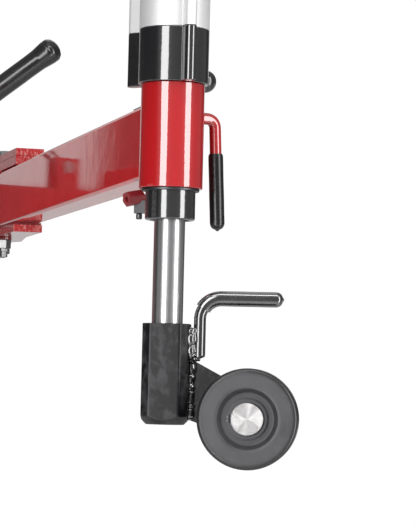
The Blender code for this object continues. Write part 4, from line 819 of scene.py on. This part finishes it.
# each bead's points, X counted from the block's side, then its width, the pitch of its lumps and their height
beadLines = {
    "along the block beside the bar": ([(0.0010, -0.0078, -0.1990), (0.0012, -0.0108, -0.2080),
                                        (0.0014, -0.0104, -0.2200), (0.0020, -0.0080, -0.2330)],
                                       0.0044, 0.0110, 0.60),
    "up the bar's front": ([(0.0052, -0.0110, -0.1995), (0.0050, -0.0122, -0.2070),
                            (0.0046, -0.0122, -0.2170), (0.0052, -0.0104, -0.2310)], 0.0031, 0.0090, 0.60),
    "plate's front": ([(0.0012, -0.0006, -0.2300), (0.0020, -0.0010, -0.2420),
                       (0.0014, -0.0004, -0.2560), (0.0012, 0.0, -0.2962)], 0.0042, 0.0095, 0.60),
    "plate's back": ([(0.0, 0.0103, -0.2950), (0.0, 0.0103, -0.2330)], 0.0032, 0.0060, 0.35),
    "bar's foot": ([(0.0040, -0.0100, -0.2310), (0.0085, -0.0070, -0.2325), (0.0112, -0.0045, -0.2315)],
                   0.0022, 0.0050, 0.45),
}
beads = []
for seed, (line, width, pitch, lump) in enumerate(beadLines.values()):
    line = placed(roundedPath(np.array(line) + (plate["side"], 0, 0), 0.006, 6), rodFrame)
    beads.append(weldSurface(line, width, (0.3, -1.0, 0.05), 11 + seed, pitch, lump))
addPiece("crankWeld", beads, weldBlack, "rod_end", ["crank_weld"], 70.0)
print("rod end made")


wheel = dict(radius=0.0523, back=0.0060, front=0.0440, fillet=0.0047, recess=0.0328, floorRadius=0.0276,
             floor=0.0360, bushWall=0.0033, bushFlange=0.0215, flangeThick=0.0015, bore=0.0172, axle=0.0169,
             axleEnd=0.0432, stem=0.0117, stemEnd=-0.012)
bushBore = wheel["bore"] + wheel["bushWall"]
rollerProfile = np.concatenate([
    [(bushBore, wheel["floor"]), (0.0235, wheel["floor"])],
    roundedPath([(0.0250, wheel["floor"]), (wheel["floorRadius"], wheel["floor"]),
                 (wheel["recess"] - 0.0012, wheel["front"] - 0.0004),
                 (wheel["recess"] + 0.0012, wheel["front"])],
                [0, 0.0022, 0.0012, 0], 5),
    roundedPath([(wheel["recess"] + 0.002, wheel["front"]), (wheel["radius"], wheel["front"]),
                 (wheel["radius"], wheel["back"]), (bushBore, wheel["back"])], wheel["fillet"], 10)])
addPiece("rollerTyre", [turnedSurface(rollerProfile, wheelFrame, 192, True)], nylon, "wheel",
         ["roller"])
flange = wheel["floor"] + gap
flangeTop = flange + wheel["flangeThick"]
bushFoot = flange - 0.014
bushFront = roundedPath([(wheel["bore"], flangeTop), (wheel["bushFlange"], flangeTop),
                         (wheel["bushFlange"], flange), (bushBore - gap, flange), (bushBore - gap, bushFoot),
                         (wheel["bore"], bushFoot)], 0.0003, 3, closed=True)
addPiece("bushFront", [turnedSurface(bushFront, wheelFrame, 96, True)], blackOxide, "wheel",
         ["roller_bush_front"])
axleProfile = roundedPath([(0.0020, wheel["axleEnd"]), (wheel["axle"], wheel["axleEnd"]),
                           (wheel["axle"], gap), (wheel["stem"], gap), (wheel["stem"], wheel["stemEnd"]),
                           (0.004, wheel["stemEnd"])], [0, 0.0009, 0, 0, 0.0006, 0], 4)
addPiece("axlePin", [turnedSurface(axleProfile, wheelFrame, 128)], facedSteel, "rod_end",
         ["roller_axle"])


def ribbonSurface(line, inner, outer, low, high, matrix):
    # a flat open ring: at each angle four corners, inner and outer, low and high, make one loop
    four = np.stack([np.column_stack([line * radius, np.full(len(line), height)])
                     for radius, height in ((inner, low), (outer, low), (outer, high), (inner, high))], 1)
    return gridSurface(placed(four, matrix))


clip = dict(inner=0.0172, outer=0.0202, thick=0.0015, opening=12.0, eye=0.0019, eyeAt=0.0196,
            eyeTurns=(186.0, 174.0))
clipSeat = flangeTop + gap
clipAngles = np.radians(np.linspace(180 + clip["opening"], 540 - clip["opening"], 120))
clipLine = np.stack([np.cos(clipAngles), np.sin(clipAngles)], -1)
eyeProfile = roundedPath([(0.0004, clipSeat + clip["eye"]), (clip["eye"], clipSeat + clip["eye"]),
                          (clip["eye"], clipSeat), (0.0004, clipSeat)], 0.0003, 2)
clipParts = [ribbonSurface(clipLine, clip["inner"], clip["outer"], clipSeat, clipSeat + clip["thick"],
                           wheelFrame)]
for turn in np.radians(clip["eyeTurns"]):
    eyePlace = (clip["eyeAt"] * math.cos(turn), clip["eyeAt"] * math.sin(turn), 0)
    clipParts.append(turnedSurface(eyeProfile, matrixOf(eyePlace, after=wheelFrame), 24))
addPiece("axleCirclip", clipParts, blackOxide, "rod_end", ["axle_circlip"])
print("roller made")


pull = dict(bar=0.0063, height=0.0238, turn=30.0, bend=0.0176, reach=0.0519, lean=3.05, gripTop=-0.0130,
            gripLength=0.0823, grip=0.0079)
lean = math.radians(pull["lean"])
pullFrame = matrixOf(turnZ=math.radians(pull["turn"]), after=columnFrame)
downward = np.array([math.sin(lean), 0.0, -math.cos(lean)])
corner = np.array([pull["reach"], 0.0, pull["height"]])
gripStart = corner + downward * (pull["height"] - pull["gripTop"]) / math.cos(lean)
gripEnd = gripStart + downward * pull["gripLength"]
pullLine = roundedPath([(sleeve["radius"] - 0.0006, 0, pull["height"]), corner, gripEnd], pull["bend"], 20)
barPath, along = evenly(pullLine, 0.0018)
keep = along < along[-1] - 0.016
sideways = (0.0, 1.0, 0.0)
addPiece("pullHandle", [barSurface(barPath[keep], pull["bar"], sideways, pullFrame, 48)], redPaint, "arm",
         ["pull_handle"])
gripLine, along = evenly([gripStart, gripEnd], 0.0025, towardsTip(pull["gripLength"]))
gripRadius = gripRadiusAt(along, 0.0, pull["gripLength"], pull["grip"], 0.0085, 0.0012, 170, 0.0009)
addPiece("pullGrip", [barSurface(gripLine, gripRadius, sideways, pullFrame, 56)], dullVinyl, "arm",
         ["pull_grip"])
rootAngle = np.linspace(0, 2 * np.pi, 60)
rootRadius = pull["bar"] + gap
rootSide = rootRadius * np.cos(rootAngle)
rootRing = np.stack([np.sqrt((sleeve["radius"] + 0.0008) ** 2 - rootSide ** 2), rootSide,
                     pull["height"] + rootRadius * np.sin(rootAngle)], -1)
addPiece("pullWeld", [weldSurface(placed(rootRing, pullFrame), 0.0012, (0.6, 0.35, 0.2), 31)], redPaint,
         "arm")

ball = dict(place=(0.9416, 0.0, 0.0704), reach=0.051, radius=0.0123)
knobProfile = [(ball["radius"] * math.sin(t), ball["reach"] - ball["radius"] * math.cos(t))
               for t in np.linspace(math.acos(0.86), math.pi - 0.06, 44)]
towards = matrixOf(ball["place"], turnX=-math.pi / 2, after=armFrame)
addPiece("ballKnob", [turnedSurface(knobProfile, towards, 64)], phenolic, "valve_handle",
         ["ball_knob"])

# the lever's grip: its radius as shares of the full one at distances along it, smoothed, then the flare's end
# rounded off on an ellipse
lock = dict(pin=(0.112, 0.0, 0.0638), angle=38.0, length=0.2885, grip=0.0160, flare=0.0186, gripLength=0.145,
            flareFrom=0.1300, flareLong=0.0150, smoothTo=0.138,
            shares=((0.0, 1.0), (0.085, 1.0), (0.109, 1.02), (0.119, 1.10), (0.127, 1.1625), (0.135, 1.116),
                    (0.141, 0.837), (0.144, 0.465), (0.145, 0.233)))
lockFrame = matrixOf(lock["pin"], turnY=math.pi / 2 - math.radians(lock["angle"]))
first = lock["length"] - lock["gripLength"]
where = np.unique(np.concatenate([np.linspace(0, 0.1, 30), np.linspace(0.1, 0.1449, 60)]))
lockRadius = lock["grip"] * np.interp(where, *zip(*lock["shares"]))
kernel = np.hanning(9) / np.hanning(9).sum()
smooth = np.convolve(np.pad(lockRadius, 4, mode="edge"), kernel, "valid")
lockRadius = np.where(where < lock["smoothTo"], smooth, lockRadius)
past = np.clip((where - lock["flareFrom"]) / lock["flareLong"], 0, 1)
flareEnd = lock["flare"] * np.sqrt(np.clip(1 - past ** 2.6, 0, 1))
flareEnd = np.maximum(np.minimum(lockRadius * 1.03, flareEnd), 0.0008)
lockRadius = np.where(where > lock["flareFrom"], flareEnd, lockRadius) * (1 + 0.004 * np.sin(where * 120))
lockProfile = np.stack([lockRadius, first + where], -1)
lockProfile = np.concatenate([[(0.0090, first + 0.0002), (lock["grip"] - 0.0012, first)], lockProfile[1:]])
addPiece("lockGrip", [turnedSurface(lockProfile, lockFrame, 96)], vinyl, "lock", ["lock_grip"])
print("handles made")


nodeFinishes = {
    "mounting_flange": (redPaint, 0.0012), "link_tube": (redPaint, 0.0), "knuckle": (redPaint, 0.0006),
    "knuckle_bush_upper": (bronze, 0.0), "knuckle_bush_lower": (bronze, 0.0),
    "lever_bracket": (redPaint, 0.0008), "lever_pin": (zinc, 0.0006), "lock_lever": (glossBlack, 0.0006),
    "fork_doubler": (cutPaint, 0.0007), "fork_plate_upper": (cutPaint, 0.0007),
    "fork_plate_lower": (cutPaint, 0.0007), "fork_spacer": (darkRedPaint, 0.0),
    "pivot_bolt": (zinc, 0.0006), "pivot_washer": (zinc, 0.0004), "pivot_nut": (zinc, 0.0006),
    "stop_bolt": (zinc, 0.0005), "stop_washer": (darkRedPaint, 0.0004), "stop_nut": (zinc, 0.0006),
    "cap_screw_1": (zinc, 0.0004), "cap_screw_2": (zinc, 0.0004), "cap_screw_3": (zinc, 0.0004),
    "air_fitting_upper": (brass, 0.0003), "valve_bracket": (blackOxide, 0.0003),
    "valve_body": (aluminium, 0.0), "bracket_screw_front": (blackOxide, 0.0002),
    "bracket_screw_rear": (blackOxide, 0.0002), "valve_fitting": (brass, 0.0003),
    "port_block": (redPaint, 0.0), "flow_hex": (darkRedPaint, 0.0005), "flow_body": (greyPlastic, 0.0),
    "flow_screw": (blackOxide, 0.0002), "piston": (aluminium, 0.0), "piston_seal_upper": (rubber, 0.0),
    "piston_seal_lower": (rubber, 0.0), "piston_nut": (zinc, 0.0005), "axle_spacer": (zinc, 0.0),
    "roller_bush_rear": (blackOxide, 0.0), "valve_lever": (zinc, 0.0),
}
for name, (finish, edge) in nodeFinishes.items():
    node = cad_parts[name]
    node.data.materials.clear()
    node.data.materials.append(finish)
    merge = node.modifiers.new("merge", "WELD")
    merge.merge_threshold = 0.00001
    if edge:
        ease = node.modifiers.new("ease", "BEVEL")
        ease.width = edge
        ease.segments = 2
        ease.limit_method = "ANGLE"
        ease.angle_limit = math.radians(40)
        ease.harden_normals = False
print("CAD nodes finished:", len(nodeFinishes))

low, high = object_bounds()
